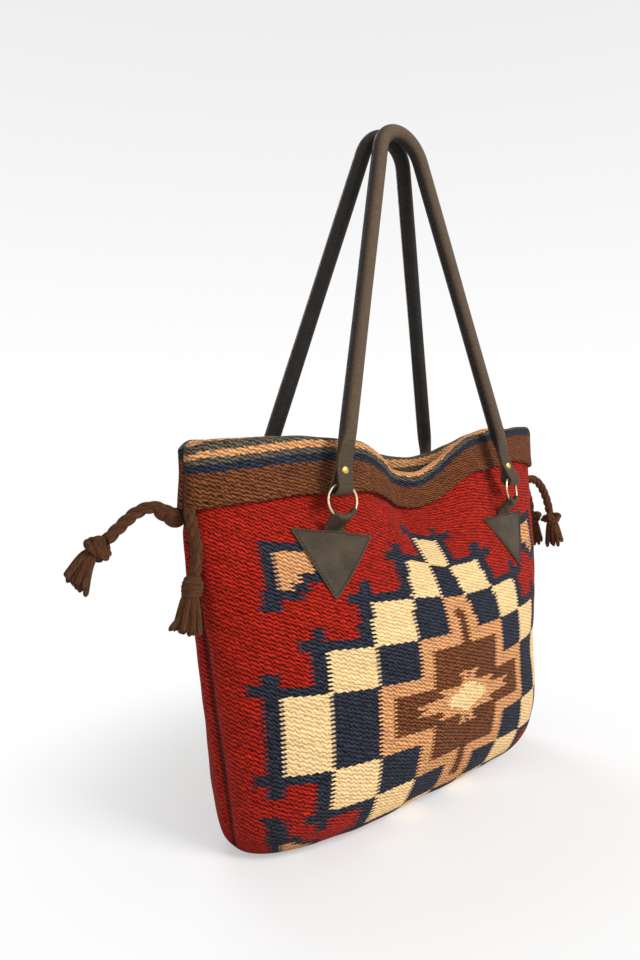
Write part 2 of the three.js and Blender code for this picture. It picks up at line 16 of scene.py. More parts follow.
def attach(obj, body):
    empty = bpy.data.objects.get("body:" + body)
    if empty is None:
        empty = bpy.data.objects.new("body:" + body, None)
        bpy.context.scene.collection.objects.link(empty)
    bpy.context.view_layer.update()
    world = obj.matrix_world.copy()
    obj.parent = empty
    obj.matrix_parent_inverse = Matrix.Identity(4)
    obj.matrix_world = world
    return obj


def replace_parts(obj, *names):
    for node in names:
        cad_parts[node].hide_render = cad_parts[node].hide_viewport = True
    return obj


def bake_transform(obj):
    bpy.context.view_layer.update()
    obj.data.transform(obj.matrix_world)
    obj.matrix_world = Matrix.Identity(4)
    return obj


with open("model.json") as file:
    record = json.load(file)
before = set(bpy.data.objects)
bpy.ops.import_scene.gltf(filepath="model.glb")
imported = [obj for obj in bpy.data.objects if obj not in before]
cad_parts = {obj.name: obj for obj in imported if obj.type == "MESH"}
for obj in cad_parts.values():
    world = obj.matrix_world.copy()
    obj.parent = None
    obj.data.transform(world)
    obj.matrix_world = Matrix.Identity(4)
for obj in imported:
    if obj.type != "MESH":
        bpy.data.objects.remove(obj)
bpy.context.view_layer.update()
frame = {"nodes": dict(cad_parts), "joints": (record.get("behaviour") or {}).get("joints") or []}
joint_places = {joint["name"]: np.array(joint["pos_m"]) * 1000.0 for joint in frame["joints"]}
chance = np.random.default_rng(7)

MM = 0.001

# Form of the stuffed bag: the wall is that of the part's source, the mouth sags and folds more freely
BAG_HEIGHT = 337.0
MOUTH_HALF_WIDTH = 239.0
FLARE_HEIGHT = 265.0
BASE_HALF_WIDTH = 197.0
CORNER_RADIUS = 14.0
BELLY_HALF_DEPTH = 92.0
BELLY_HEIGHT = 132.0
MOUTH_HALF_DEPTH = 27.0
BASE_HALF_DEPTH = 24.0
CLOTH_THICKNESS = 5.0
BASE_SECTION_POWER = 4.2
BELLY_SECTION_POWER = 1.85
MOUTH_SECTION_POWER = 3.8
BELLY_ROUNDNESS = 2.4
SEAM_GROOVE_DEPTH = 4.0
SEAM_GROOVE_WIDTH = 6.0
SAG_REACH = 130.0
FRONT_DIP = {"centre": 4.0, "drop": 30.0, "half_width": 90.0, "push": 8.0, "crease": 7.0, "lift": 3.5}
BACK_DIP = {"centre": 62.0, "drop": 17.5, "half_width": 150.0, "push": 5.0, "crease": 0.0, "lift": 0.0}
CREASE_CENTRE = -20.0
CREASE_WIDTH = 15.0
CREASE_LENGTH = 95.0
LIFT_CENTRE = -150.0
LIFT_HALF_WIDTH = 90.0
RIGHT_END_RISE = 20.0

# The cuff
CUFF_HEIGHT = 50.0
CUFF_THICKNESS = 4.6
CUFF_EDGE_GAP = 1.4
CUFF_HOLLOW = 0.6
CUFF_BACK = 12.0
CUFF_INSIDE = 60.0
CUFF_EDGE = BAG_HEIGHT - CUFF_HEIGHT

# The rug as it came off the loom
WARP_PITCH = 3.75
WEFT_PITCH = 1.66
ROW_PITCH = WEFT_PITCH / 2
RUG_HALF_WIDTH = 255.0
CELLS_PER_WARP = 2
WEFT_RELIEF = 0.35
TIP_RELIEF = 0.45
PASS_POINT = 0.85
PASS_SLANT = 0.22
WAVE_HEIGHT = 0.5
MEDALLION_HEIGHT = 106.6
ROW_TILT = 0.17
ROW_TILT_FROM = 35.0
ROW_TILT_TO = 240.0

# Leather, rings and handles
LEATHER_THICKNESS = 2.0
SEAT_GAP = 0.4
TAB_SPACING = 251.0
TAB_WIDTH = 84.0
TAB_DROP = 54.0
TAB_TURNS = {-1: -8.0, 1: 3.0}
TAB_TIP_SHIFTS = {-1: -6.0, 1: 1.0}
TAB_CORNER_CUT = 3.2
TAB_INRADIUS = 20.5
TAB_SWELL = 2.6
TAB_SWELL_ACROSS = (7.0, 17.0)
TAB_SWELL_UP = (-24.0, -6.0)
TAB_DOME = 0.3
TAB_TOP = CUFF_EDGE - 26.0
TAB_STITCH_INSET = 1.6
STRAP_WIDTH = 21.0
STRAP_THICKNESS = 1.6
STRAP_LAYER = STRAP_THICKNESS * 0.55
STRAP_FIT = 0.3
STRAP_FOOT = TAB_TOP - 10.0
STRAP_FOOT_STANDING = 1.6
STRAP_WAIST = TAB_TOP + 2.0
STRAP_WAIST_STANDING = 2.4
STRAP_YAW_TOP = TAB_TOP + 12.0
STRAP_BEND = (-50.0, 230.0)
STRAP_BLEND_END = 4.0
RING_INNER_DIAMETER = 25.4
RING_WIRE = 2.2
RING_RADIUS = (RING_INNER_DIAMETER + RING_WIRE) / 2
RING_YAW = 12.0
RING_CENTRE = 10.9
BRAZE_TURN = 4.2
BRAZE_WIDTH = 0.03
BRAZE_DEPTH = 0.12
HANDLE_DIAMETER = 15.0
HANDLE_RISE = 337.0
HANDLE_BEND_RADIUS = 31.0
HANDLE_END_WIDTH = 17.0
HANDLE_END_LENGTH = 24.0
HANDLE_NECK_LENGTH = 26.0
HANDLE_BORE = 4.7
# How pale the handle leather is painted: on the outer side of each roll for wear from rubbing and a painted
# highlight, and all round its flat ends.
HANDLE_WEAR_AND_HIGHLIGHT = 0.72
END_RUBBED = 0.4
END_BEND = (-32.0, 212.0)
END_RISES = [HANDLE_END_LENGTH + 5.0, 20.0, 15.0]
RIVET_HEIGHT = 14.0
RIVET_HEAD_DIAMETER = 7.2
RIVET_DOME = 1.6
RIVET_RIM = 0.35
RIVET_PLAY = 0.15
RIVET_SHANK_RADIUS = 1.7
# Rows of stitches: their pitch, the share of it that one stitch covers, and the radius of the thread
TAB_STITCHES = (3.5, 0.64, 0.6)
HANDLE_STITCHES = (5.6, 0.66, 0.5)
STITCH_SINK = 0.05

# Corner cords
CORD_DIAMETER = 8.4
CORD_STEPS = 8
CORD_PLIES = 3
CORD_SWELL = 1.19
PLY_SHARE = 0.54
PLY_PITCH = 27.0
KNOT_DIAMETER = 21.0
KNOT_LENGTH = 16.0
KNOT_WRAP = 4.1
KNOT_SWELL = 1.14
WHIP_TURNS = 4.5
WHIP_RADIUS = 5.0
WHIP_BULGE = 1.2
WHIP_YARN = 2.3
WHIP_MARGIN = 1.6
BRUSH_LENGTH = 22.0
BRUSH_DIAMETER = 24.0
BRUSH_YARNS = 15
BRUSH_SAG = 8.0
BRUSH_FALL = 6.0
YARN_RADIUS = 2.6
YARN_HIDDEN = 3.0
YARN_BOW = 0.6
YARN_TURN = 2.4
YARN_REACHES = (0.86, 1.04)
ROLL_PART = slice(2, 50)
ROLL_START = 0.6
ROLL_TURNS = 0.9
ROLL_RADII = (8.2, 5.0)
ROLL_COIL = 2.2
ROLL_SAG = 4.6

RED, NAVY, CREAM, TAN, BROWN, GREY = range(6)


def linear(red, green, blue):
    """A colour given in the usual 0 to 255 scale, turned to linear light."""
    return tuple((value / 255.0) ** 2.2 for value in (red, green, blue))


DYES = np.array([
    linear(166, 38, 25),
    linear(49, 52, 63),
    linear(248, 208, 150),
    linear(214, 152, 102),
    linear(114, 68, 42),
    linear(92, 84, 72),
])
# Painted shade between the passes of each dye (the share of the dye kept there), and how much its passes
# differ
DYE_GAP_SHADE = np.array([0.5, 0.5, 0.8, 0.76, 0.5, 0.6])
DYE_SPREAD = np.array([0.15, 0.18, 0.04, 0.05, 0.15, 0.1])


# Numbers and lines


def smoothstep(value, low, high):
    share = np.clip((np.asarray(value, float) - low) / (high - low), 0.0, 1.0)
    return share * share * (3.0 - 2.0 * share)


def lerp(low, high, share):
    return low + (high - low) * share


def bell(value, width):
    return np.exp(-((value / width) ** 2))


def hump(x, centre, half_width):
    """A smooth rise from 0 to 1 and back."""
    away = np.minimum(1.0, np.abs(x - centre) / half_width)
    return np.cos(away * np.pi / 2.0) ** 2


def stacked(*parts):
    """Arrays spread to one shape, side by side in a new last axis."""
    return np.stack(np.broadcast_arrays(*parts), axis=-1)


def unit(vectors):
    return vectors / np.maximum(np.linalg.norm(vectors, axis=-1, keepdims=True), 1e-9)


def around(count):
    return np.linspace(0.0, 2 * np.pi, count, endpoint=False)


def circled(turn, side, other):
    """Directions at angles from one way towards another."""
    return np.cos(turn)[..., None] * side + np.sin(turn)[..., None] * other


def path_lengths(line):
    steps = np.linalg.norm(np.diff(line, axis=0), axis=1)
    return np.concatenate([[0.0], np.cumsum(steps)])


def smooth_line(points, per_span):
    """A curve through the points, with a number of steps to each span."""
    points = np.asarray(points, float)
    padded = np.vstack([2 * points[0] - points[1], points, 2 * points[-1] - points[-2]])
    share = np.linspace(0.0, 1.0, per_span, endpoint=False)[:, None]
    spans = []
    for a, b, c, d in zip(padded, padded[1:], padded[2:], padded[3:]):
        bend = 2 * a - 5 * b + 4 * c - d
        turn = 3 * b - a - 3 * c + d
        spans.append(b + 0.5 * share * (c - a + share * (bend + share * turn)))
    return np.vstack([*spans, points[-1:]])


def line_frames(line):
    """Two directions square to a line at each of its points, turned as little as can be along it."""
    forward = unit(np.gradient(line, axis=0))
    side = [unit(np.cross(forward[0], [0.31, 0.95, 0.12]))]
    for way in forward[1:]:
        side.append(unit(side[-1] - way * np.dot(side[-1], way)))
    side = np.array(side)
    return side, np.cross(forward, side)


# Mesh helpers

FIBRE_TWIST = 0.16
STRAND_OFFSET = 37.0


def grid_quads(rows, columns, closed=False):
    """Quads of a grid of points stored row by row. A closed grid joins its last column to its first."""
    last = columns if closed else columns - 1
    row, column = np.meshgrid(np.arange(rows - 1), np.arange(last), indexing="ij")
    here = row * columns + column
    beside = row * columns + (column + 1) % columns
    return np.stack([here, beside, beside + columns, here + columns], axis=-1).reshape(-1, 4)


def closing_quads(rows, columns):
    """Quads that join the last row of a closed grid to its first."""
    here = np.arange(columns)
    beside = (here + 1) % columns
    last = (rows - 1) * columns
    return np.stack([last + here, last + beside, beside, here], axis=-1)


def capped(rows, size):
    """Faces of a closed grid with a lid over its first row and its last."""
    faces = grid_quads(rows, size, closed=True).tolist()
    return [*faces, list(range(size))[::-1], list(range((rows - 1) * size, rows * size))]


def add_piece(name, points, faces, material, body):
    """A smooth mesh piece from points in millimetres, riding on a body if one is named."""
    mesh = bpy.data.meshes.new(name)
    mesh.from_pydata((np.asarray(points, float) * MM).tolist(), [], [list(map(int, face)) for face in faces])
    mesh.polygons.foreach_set("use_smooth", np.ones(len(mesh.polygons), dtype=bool))
    mesh.materials.append(material)
    piece = bpy.data.objects.new(name, mesh)
    bpy.context.scene.collection.objects.link(piece)
    if body:
        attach(piece, body)
    return piece


def face_outward(piece):
    """Turns the faces of a piece made of closed shells outward."""
    shell = bmesh.new()
    shell.from_mesh(piece.data)
    bmesh.ops.recalc_face_normals(shell, faces=shell.faces)
    shell.to_mesh(piece.data)
    shell.free()
    return piece


def set_layer(piece, name, values):
    """One number or three for each vertex, for the material to read."""
    values = np.asarray(values, np.float32)
    kind, key = ("FLOAT", "value") if values.ndim == 1 else ("FLOAT_VECTOR", "vector")
    layer = piece.data.attributes.new(name, kind, "POINT")
    layer.data.foreach_set(key, values.ravel())


class Shells:
    """Several closed shells gathered into one mesh, with three texture numbers for each vertex."""

    def __init__(self):
        self.points = []
        self.faces = []
        self.places = []
        self.count = 0

    def add(self, points, faces, places):
        self.points.append(points)
        self.places.append(places + [0.0, 0.0, STRAND_OFFSET * len(self.places)])
        self.faces.extend([[int(k) + self.count for k in face] for face in faces])
        self.count += len(points)

    def piece(self, name, material, body, slot):
        made = add_piece(name, np.concatenate(self.points), self.faces, material, body)
        set_layer(made, "along", np.concatenate(self.places))
        return face_outward(made)


def tube(line, radii, sides):
    """A closed tube along a line: its points, faces and texture places, which turn with its fibres."""
    radii = np.broadcast_to(radii, len(line))[:, None]
    side, other = line_frames(line)
    turn = around(sides)
    points = line[:, None] + circled(turn, side[:, None], other[:, None]) * radii[..., None]
    along = path_lengths(line)[:, None]
    fibre = turn + FIBRE_TWIST * along
    places = stacked(np.cos(fibre) * radii, np.sin(fibre) * radii, along)
    return points.reshape(-1, 3), capped(len(line), sides), places.reshape(-1, 3)


# Materials


class Look:
    """A material with one Principled shader, and a short way to add nodes before it."""

    def __init__(self, name):
        self.material = bpy.data.materials.new(name)
        self.material.use_nodes = True
        self.tree = self.material.node_tree
        self.shader = self.tree.nodes["Principled BSDF"]

    def node(self, kind, inputs=None, **settings):
        made = self.tree.nodes.new(kind)
        for key, value in settings.items():
            setattr(made, key, value)
        for key, value in (inputs or {}).items():
            self.feed(made.inputs[key], value)
        return made

    def feed(self, socket, value):
        if isinstance(value, bpy.types.NodeSocket):
            self.tree.links.new(value, socket)
        else:
            socket.default_value = value

    def set(self, **values):
        for key, value in values.items():
            self.feed(self.shader.inputs[key.replace("_", " ")], value)

    def attribute(self, name, output="Vector"):
        return self.node("ShaderNodeAttribute", attribute_name=name).outputs[output]

    def coordinates(self, kind="Object"):
        return self.node("ShaderNodeTexCoord").outputs[kind]

    def maths(self, operation, first, second=0.0):
        return self.node("ShaderNodeMath", {0: first, 1: second}, operation=operation).outputs[0]

    def add(self, first, second):
        return self.maths("ADD", first, second)

    def times(self, first, second):
        return self.maths("MULTIPLY", first, second)

    def spread(self, value, low, high, **more):
        """A value from 0 to 1, or from other ends that are given, spread from low to high."""
        inputs = {"Value": value, "To Min": low, "To Max": high}
        inputs.update({key.replace("_", " "): end for key, end in more.items()})
        return self.node("ShaderNodeMapRange", inputs).outputs["Result"]

    def noise(self, place, scale, detail=3.0, roughness=0.55):
        """Noise of one scale, or of three along the axes."""
        if isinstance(scale, tuple):
            place = self.node("ShaderNodeMapping", {"Vector": place, "Scale": scale}).outputs["Vector"]
            scale = 1.0
        inputs = {"Vector": place, "Scale": scale, "Detail": detail, "Roughness": roughness}
        return self.node("ShaderNodeTexNoise", inputs).outputs["Fac"]

    def mixed(self, share, first, second, **settings):
        inputs = {"Factor": share, "A": first, "B": second}
        return self.node("ShaderNodeMix", inputs, **settings).outputs["Result"]

    def coloured(self, share, first, second, blend="MIX"):
        return self.mixed(share, first, second, data_type="RGBA", blend_type=blend)

    def bump(self, height, distance):
        inputs = {"Height": height, "Distance": distance, "Strength": 1.0}
        self.set(Normal=self.node("ShaderNodeBump", inputs).outputs["Normal"])


def tone(red, green, blue):
    return (*linear(red, green, blue), 1.0)


# Strokes of the plied weft on the face of the cloth: their length along a row, pitch up the cloth and fall
STROKE_LENGTH = 5.6
STROKE_PITCH = 3.3
STROKE_FALL = 0.95


def slanting_strokes(look, place):
    """Height of the plied weft, 0 to 1: slanting strokes, half a pitch apart from column to column."""
    apart = look.node("ShaderNodeSeparateXYZ", {0: place})
    wobble = look.noise(place, (0.12, 0.3, 1.0), detail=2.0)
    column = look.maths("DIVIDE", apart.outputs["X"], STROKE_LENGTH)
    column = look.add(column, look.spread(wobble, -0.25, 0.25))
    phase = look.maths("DIVIDE", apart.outputs["Y"], STROKE_PITCH)
    phase = look.add(phase, look.times(look.maths("FLOOR", column), 0.5))
    phase = look.add(phase, look.times(look.maths("FRACT", column), STROKE_FALL))
    phase = look.add(phase, look.spread(wobble, -0.4, 0.4))
    wave = look.maths("COSINE", look.times(phase, 2.0 * math.pi))
    return look.add(look.times(wave, 0.5), 0.5)


def cloth_look():
    """Wool weft: the dye of each pass, with painted shade, comes from the mesh; its strokes, with painted
    shade in their hollows and a painted highlight on their crowns, its fibres and fuzz from here.
    """
    look = Look("woven_wool")
    dye = look.attribute("dye", "Color")
    place = look.attribute("weave")
    fibre = look.noise(place, (0.45, 2.0, 1.0), detail=4.0, roughness=0.7)
    streak = look.noise(place, (0.012, 0.16, 1.0), detail=2.0)
    strokes = slanting_strokes(look, place)
    # Painted shade in the hollows between strokes and a painted highlight on their crowns, both stronger on
    # dark dyes.
    pale = look.node("ShaderNodeRGBToBW", {0: dye}).outputs["Val"]
    woven = look.mixed(strokes, look.spread(pale, 0.12, 0.97), look.spread(pale, 1.75, 1.0))
    shade = look.times(look.spread(fibre, 0.6, 1.4), look.spread(streak, 0.8, 1.2))
    look.set(Base_Color=look.coloured(1.0, dye, look.times(shade, woven), blend="MULTIPLY"))
    look.set(Roughness=look.spread(fibre, 0.85, 1.0))
    look.set(Sheen_Weight=0.04, Sheen_Roughness=0.5, Specular_IOR_Level=0.08)
    look.bump(look.add(look.times(strokes, 1.2), fibre), 0.00045)
    return look.material


def yarn_look():
    """Brown wool yarn: fibres that run along each strand with a slow turn, lighter and darker."""
    look = Look("twisted_yarn")
    along = look.attribute("along")
    fibre = look.noise(along, (1.5, 1.5, 0.07), detail=4.0, roughness=0.65)
    patches = look.noise(along, (0.2, 0.2, 0.06), detail=2.0)
    colour = look.coloured(look.spread(fibre, -0.9, 1.8), tone(30, 16, 8), tone(124, 80, 51))
    look.set(Base_Color=look.coloured(look.spread(patches, 0.0, 0.6), colour, tone(88, 52, 31)))
    look.set(Roughness=look.spread(fibre, 0.85, 1.0))
    look.set(Sheen_Weight=0.05, Sheen_Roughness=0.5, Specular_IOR_Level=0.1)
    look.bump(fibre, 0.0018)
    return look.material


def leather_look(name, dark, light, wrinkles):
    """Dark grained leather, paler at its cut edges, and on the handles' outer side with wear from rubbing
    and a painted highlight.
    """
    look = Look(name)
    place = look.coordinates()
    grain = look.node("ShaderNodeTexVoronoi", {"Vector": place, "Scale": 850.0}).outputs["Distance"]
    creases = look.noise(place, 260.0, detail=5.0, roughness=0.65)
    patches = look.noise(place, 55.0)
    folds = look.noise(place, (84.0, 84.0, 700.0), roughness=0.6)
    hide = look.coloured(look.spread(patches, -0.4, 1.3), dark, light)
    grained = look.coloured(look.spread(grain, 0.35, 0.0), hide, tone(27, 22, 16))
    # The cut layer mixes in the pale tone: cut edges, and on the handles also wear from rubbing and a
    # painted highlight.
    look.set(Base_Color=look.coloured(look.attribute("cut", "Fac"), grained, tone(92, 74, 54)))
    look.set(Roughness=look.spread(creases, 0.4, 0.64), Specular_IOR_Level=0.26)
    height = look.add(look.times(grain, 0.6), creases)
    look.bump(look.add(height, look.times(folds, wrinkles)), 0.0007)
    return look.material


def metal_look(name, colour, worn):
    """Plated metal with fine rubbing marks and duller spots."""
    look = Look(name)
    place = look.coordinates()
    spots = look.noise(place, 240.0, detail=4.0)
    look.set(Base_Color=look.coloured(look.spread(spots, 0.0, 0.9), colour, worn))
    look.set(Metallic=1.0, Roughness=look.spread(spots, 0.18, 0.42))
    look.bump(look.noise(place, (2200.0, 2200.0, 440.0), detail=2.0), 0.00012)
    return look.material


def fibre_look(name, scale, detail, dark, light, roughness, depth):
    """Plain fibres in two tones: the thread of the seams and the rope inside the handles."""
    look = Look(name)
    fibre = look.noise(look.coordinates(), scale, detail=detail)
    look.set(Base_Color=look.coloured(fibre, dark, light), Roughness=look.spread(fibre, *roughness))
    look.bump(fibre, depth)
    return look.material


cloth = cloth_look()
yarn = yarn_look()
tab_leather = leather_look("tab_leather", tone(48, 38, 27), tone(84, 69, 50), 0.2)
# Handle leather darker than the tabs', made darker still so that the inner side of each roll shows painted
# shade beside the painted highlight.
handle_leather = leather_look("handle_leather", tone(14, 9, 4), tone(38, 29, 18), 1.5)
thread = fibre_look("waxed_thread", 1500.0, 2.0, tone(20, 17, 15), tone(52, 45, 39), (0.5, 0.75), 0.0003)
ring_metal = metal_look("ring_plating", tone(226, 212, 178), tone(176, 158, 122))
rivet_brass = metal_look("rivet_brass", tone(236, 204, 112), tone(196, 156, 70))
rope = fibre_look(
    "cotton_rope", (700.0, 700.0, 210.0), 4.0, tone(176, 160, 132), tone(226, 212, 184), (0.8, 1.0), 0.0006
)


# The form of the stuffed bag


def half_depth(z):
    fall = np.clip(1.0 - z / BELLY_HEIGHT, 0.0, 1.0) ** BELLY_ROUNDNESS
    lower = lerp(BASE_HALF_DEPTH, BELLY_HALF_DEPTH, (1.0 - fall) ** (1.0 / BELLY_ROUNDNESS))
    rise = np.clip((z - BELLY_HEIGHT) / (BAG_HEIGHT - BELLY_HEIGHT), 0.0, 1.0)
    upper = lerp(MOUTH_HALF_DEPTH, BELLY_HALF_DEPTH, (1.0 + np.cos(np.pi * rise)) / 2.0)
    return np.where(z < BELLY_HEIGHT, lower, upper)


def half_width(z):
    straight = lerp(BASE_HALF_WIDTH, MOUTH_HALF_WIDTH, np.clip(z / FLARE_HEIGHT, 0.0, 1.0))
    into = np.clip(1.0 - z / CORNER_RADIUS, 0.0, 1.0)
    return straight - CORNER_RADIUS * (1.0 - np.sqrt(1.0 - into * into))


def section_power(z):
    lower = lerp(BASE_SECTION_POWER, BELLY_SECTION_POWER, smoothstep(z, 0.0, BELLY_HEIGHT))
    upper = lerp(BELLY_SECTION_POWER, MOUTH_SECTION_POWER, smoothstep(z, BELLY_HEIGHT, BAG_HEIGHT))
    return np.where(z < BELLY_HEIGHT, lower, upper)


def dip_moves(dip, x, z):
    """How far one side of the mouth has folded in and risen or sunk."""
    fade = smoothstep(z, BAG_HEIGHT - SAG_REACH, BAG_HEIGHT)
    bump = hump(x, dip["centre"], dip["half_width"])
    crease_fade = smoothstep(z, CUFF_EDGE - CREASE_LENGTH, CUFF_EDGE)
    crease = dip["crease"] * bell(x - CREASE_CENTRE, CREASE_WIDTH) * crease_fade
    rise = RIGHT_END_RISE * smoothstep(x, 0.0, MOUTH_HALF_WIDTH)
    rise = rise + dip["lift"] * hump(x, LIFT_CENTRE, LIFT_HALF_WIDTH)
    return dip["push"] * bump * fade + crease, (rise - dip["drop"] * bump) * fade


def wall_points(angle, z, proud):
    """Points of the wall at angles round the bag; proud is how far they lie outside the outer face."""
    wide = half_width(z) + proud
    deep = half_depth(z) + proud
    across = np.cos(angle)
    spread = np.abs(across) ** (2.0 / section_power(z))
    x = np.sign(across) * wide * spread
    y = -deep * np.sin(angle)
    at_side = smoothstep(spread, 0.9, 1.0) * bell(y, SEAM_GROOVE_WIDTH)
    x = x - np.sign(across) * SEAM_GROOVE_DEPTH * at_side * smoothstep(z, 0.0, CORNER_RADIUS)
    front_in, front_lift = dip_moves(FRONT_DIP, x, z)
    back_in, back_lift = dip_moves(BACK_DIP, x, z)
    inward = np.where(y < 0, front_in, -back_in)
    lift = np.where(y < 0, front_lift, back_lift)
    return stacked(x, y + inward, z + lift)


def outer_face(x, z, behind):
    """Y of the outer face at a place seen from the front, or from behind with X turned round."""
    across = -x if behind else x
    dip = BACK_DIP if behind else FRONT_DIP
    source = np.asarray(z, float)
    for _ in range(4):
        source = z - dip_moves(dip, across, source)[1]
    share = (np.abs(x) / half_width(source)) ** section_power(source)
    return -half_depth(source) * np.sqrt(1.0 - share) + dip_moves(dip, across, source)[0]


def above_face(x, z, behind, height):
    """Points a given height above the outer face."""
    step = 1.0
    slope_x = (outer_face(x + step, z, behind) - outer_face(x - step, z, behind)) / (2 * step)
    slope_z = (outer_face(x, z + step, behind) - outer_face(x, z - step, behind)) / (2 * step)
    out = unit(stacked(slope_x, -1.0, slope_z))
    return stacked(x, outer_face(x, z, behind), z) + out * np.broadcast_to(height, out.shape[:-1])[..., None]


# The woven pattern, by distances from the middle of the medallion

STEP_COLUMNS = np.cumsum([0.0, 19.65, 44.0, 44.0, 44.0, 42.9])
STEP_ROWS = np.cumsum([0.0, 27.7, 32.6, 32.6, 32.6, 32.6])
LAST_STEP = 4
OUTLINE_ACROSS = 14.0
OUTLINE_UP = 7.0
HOOK_LENGTH = 10.0
HOOK_WIDTH = 12.0
HOOK_HEIGHT = 8.0
BORDER_ACROSS = 16.0
BORDER_UP = 11.5
SPIKE_HALF_WIDTH = 6.5
SPIKE_TOP = 79.0
STAR_ROWS = [0.0, 4.0, 6.5, 12.5, 13.5, 18.0, 24.0]
STAR_WIDTHS = [56.0, 70.0, 34.0, 41.0, 8.0, 8.0, 13.0]
STAR_FORK = 3.0
HEART_ROWS = [0.0, 4.0, 8.0, 13.0]
HEART_WIDTHS = [30.0, 26.0, 14.0, 5.0]
# The motif in each corner of the field, with a foot below it that slants on the lower two
CORNER_ACROSS = 184.0
CORNER_UP = 135.0
LOWER_CORNER_ACROSS = 193.0
LOWER_CORNER_UP = 115.0
CORNER_STEP_DEPTHS = [17.0, 24.0, 30.0]
CORNER_STEP_WIDTHS = [29.0, 17.0, 11.0, 0.0]
CORNER_OUTLINE = 12.0
CORNER_INLINE = 7.0
CORNER_FOOT_WIDTH = 16.0
CORNER_FOOT_FROM = 30.0
CORNER_FOOT_TO = 46.0
LOWER_FOOT_SLOPE = 0.63
LOWER_FOOT_MIDDLE = 36.0
LOWER_FOOT_FROM = 28.0
LOWER_FOOT_TO = 56.0
LOWER_FOOT_HALF_WIDTH = 10.0
# The fold below the dip of the mouth swallows cloth, so that the pattern closes in on it from both sides
FOLD_PLACE = -22.0
FOLD_LOW = 60.0
FOLD_HIGH = 130.0
FOLD_REACH = 45.0
FOLD_FROM_LEFT = 13.0
FOLD_FROM_RIGHT = 17.0
FOLD_SLIP = 6.0


def between(value, low, high):
    return (value > low) & (value < high)


def medallion_step(across, up):
    """Which step of the diamond a place lies in, counted from the middle."""
    column = np.searchsorted(STEP_COLUMNS, np.maximum(across, 0.0), side="right") - 1
    row = np.searchsorted(STEP_ROWS, np.maximum(up, 0.0), side="right") - 1
    outside = (column > LAST_STEP) | (row > LAST_STEP)
    return np.where(outside, LAST_STEP + 1, column + row)


def outline_hooks(across, up):
    """The crossed hooks on the outer corners of the diamond's steps."""
    hooks = np.zeros(np.broadcast(across, up).shape, dtype=bool)
    for step in range(LAST_STEP + 1):
        edge = across - STEP_COLUMNS[step + 1]
        top = up - STEP_ROWS[LAST_STEP + 1 - step]
        hooks |= between(edge, 0.0, HOOK_WIDTH) & between(top, 0.0, OUTLINE_UP + HOOK_LENGTH)
        hooks |= between(edge, 0.0, OUTLINE_ACROSS + HOOK_LENGTH) & between(top, 0.0, HOOK_HEIGHT)
    return hooks


def corner_steps(inside, below):
    """The tan stepped triangle of a corner motif, from its square corner."""
    widths = np.array(CORNER_STEP_WIDTHS)[np.searchsorted(CORNER_STEP_DEPTHS, below, side="right")]
    return (below > 0) & between(inside, 0.0, widths)


def corner_motif(across, v):
    """Navy and tan places of the stepped triangle in each corner; the lower two lie nearer the middle."""
    inside = np.where(v < 0, LOWER_CORNER_ACROSS, CORNER_ACROSS) - across
    below = np.where(v < 0, LOWER_CORNER_UP, CORNER_UP) - np.abs(v)
    tan = corner_steps(inside, below)
    navy = tan.copy()
    for right in np.linspace(-CORNER_INLINE, CORNER_OUTLINE, 5):
        for down in np.linspace(-OUTLINE_UP, OUTLINE_UP, 3):
            navy |= corner_steps(inside + right, below + down)
    navy |= between(inside, -CORNER_FOOT_WIDTH, 0.0) & between(below, CORNER_FOOT_FROM, CORNER_FOOT_TO)
    from_slope = inside - LOWER_FOOT_SLOPE * (LOWER_FOOT_MIDDLE - below)
    slanting = (np.abs(from_slope) < LOWER_FOOT_HALF_WIDTH) & between(below, LOWER_FOOT_FROM, LOWER_FOOT_TO)
    return navy | (slanting & (v < 0)), tan


def round_the_fold(u, v):
    """The places of the flat rug that show at (u, v) once the fold has taken up its cloth."""
    away = np.abs(u - FOLD_PLACE) / FOLD_REACH
    near = smoothstep(v, FOLD_LOW, FOLD_HIGH) * away * np.exp(1.0 - away)
    left = u < FOLD_PLACE
    shown_u = u + near * np.where(left, -FOLD_FROM_LEFT, FOLD_FROM_RIGHT)
    return shown_u, v + near * np.where(left, -FOLD_SLIP, FOLD_SLIP)


def woven_dye(u, v):
    """The dye of the weft at a place of the rug, from the middle of its medallion."""
    across = np.abs(u)
    up = np.abs(v)
    step = medallion_step(across, up)
    grown = np.minimum(medallion_step(across - OUTLINE_ACROSS, up), medallion_step(across, up - OUTLINE_UP))
    grown = np.minimum(grown, medallion_step(across - OUTLINE_ACROSS, up - OUTLINE_UP))
    brown = medallion_step(across + BORDER_ACROSS, up + BORDER_UP) <= LAST_STEP - 2
    brown |= (across < SPIKE_HALF_WIDTH) & (up < SPIKE_TOP)
    star = (across < np.interp(up, STAR_ROWS, STAR_WIDTHS)) & (up < STAR_ROWS[-1])
    star &= (up < STAR_ROWS[-2]) | (across > STAR_FORK)
    heart = (across < np.interp(up, HEART_ROWS, HEART_WIDTHS)) & (up < HEART_ROWS[-1])
    motif, motif_fill = corner_motif(across, v)
    cross = step <= LAST_STEP - 2
    layers = [
        (motif, NAVY),
        (motif & motif_fill, TAN),
        (grown <= LAST_STEP, NAVY),
        (outline_hooks(across, up), NAVY),
        (step == LAST_STEP, CREAM),
        (step == LAST_STEP - 1, NAVY),
        (cross, TAN),
        (cross & brown, BROWN),
        (cross & star, TAN),
        (cross & heart, CREAM),
    ]
    dye = np.full(step.shape, RED)
    for where, colour in layers:
        dye[where] = colour
    return dye


# Weaving: each visible weft passes over one warp as a small pillow, half a pass lower on every other warp


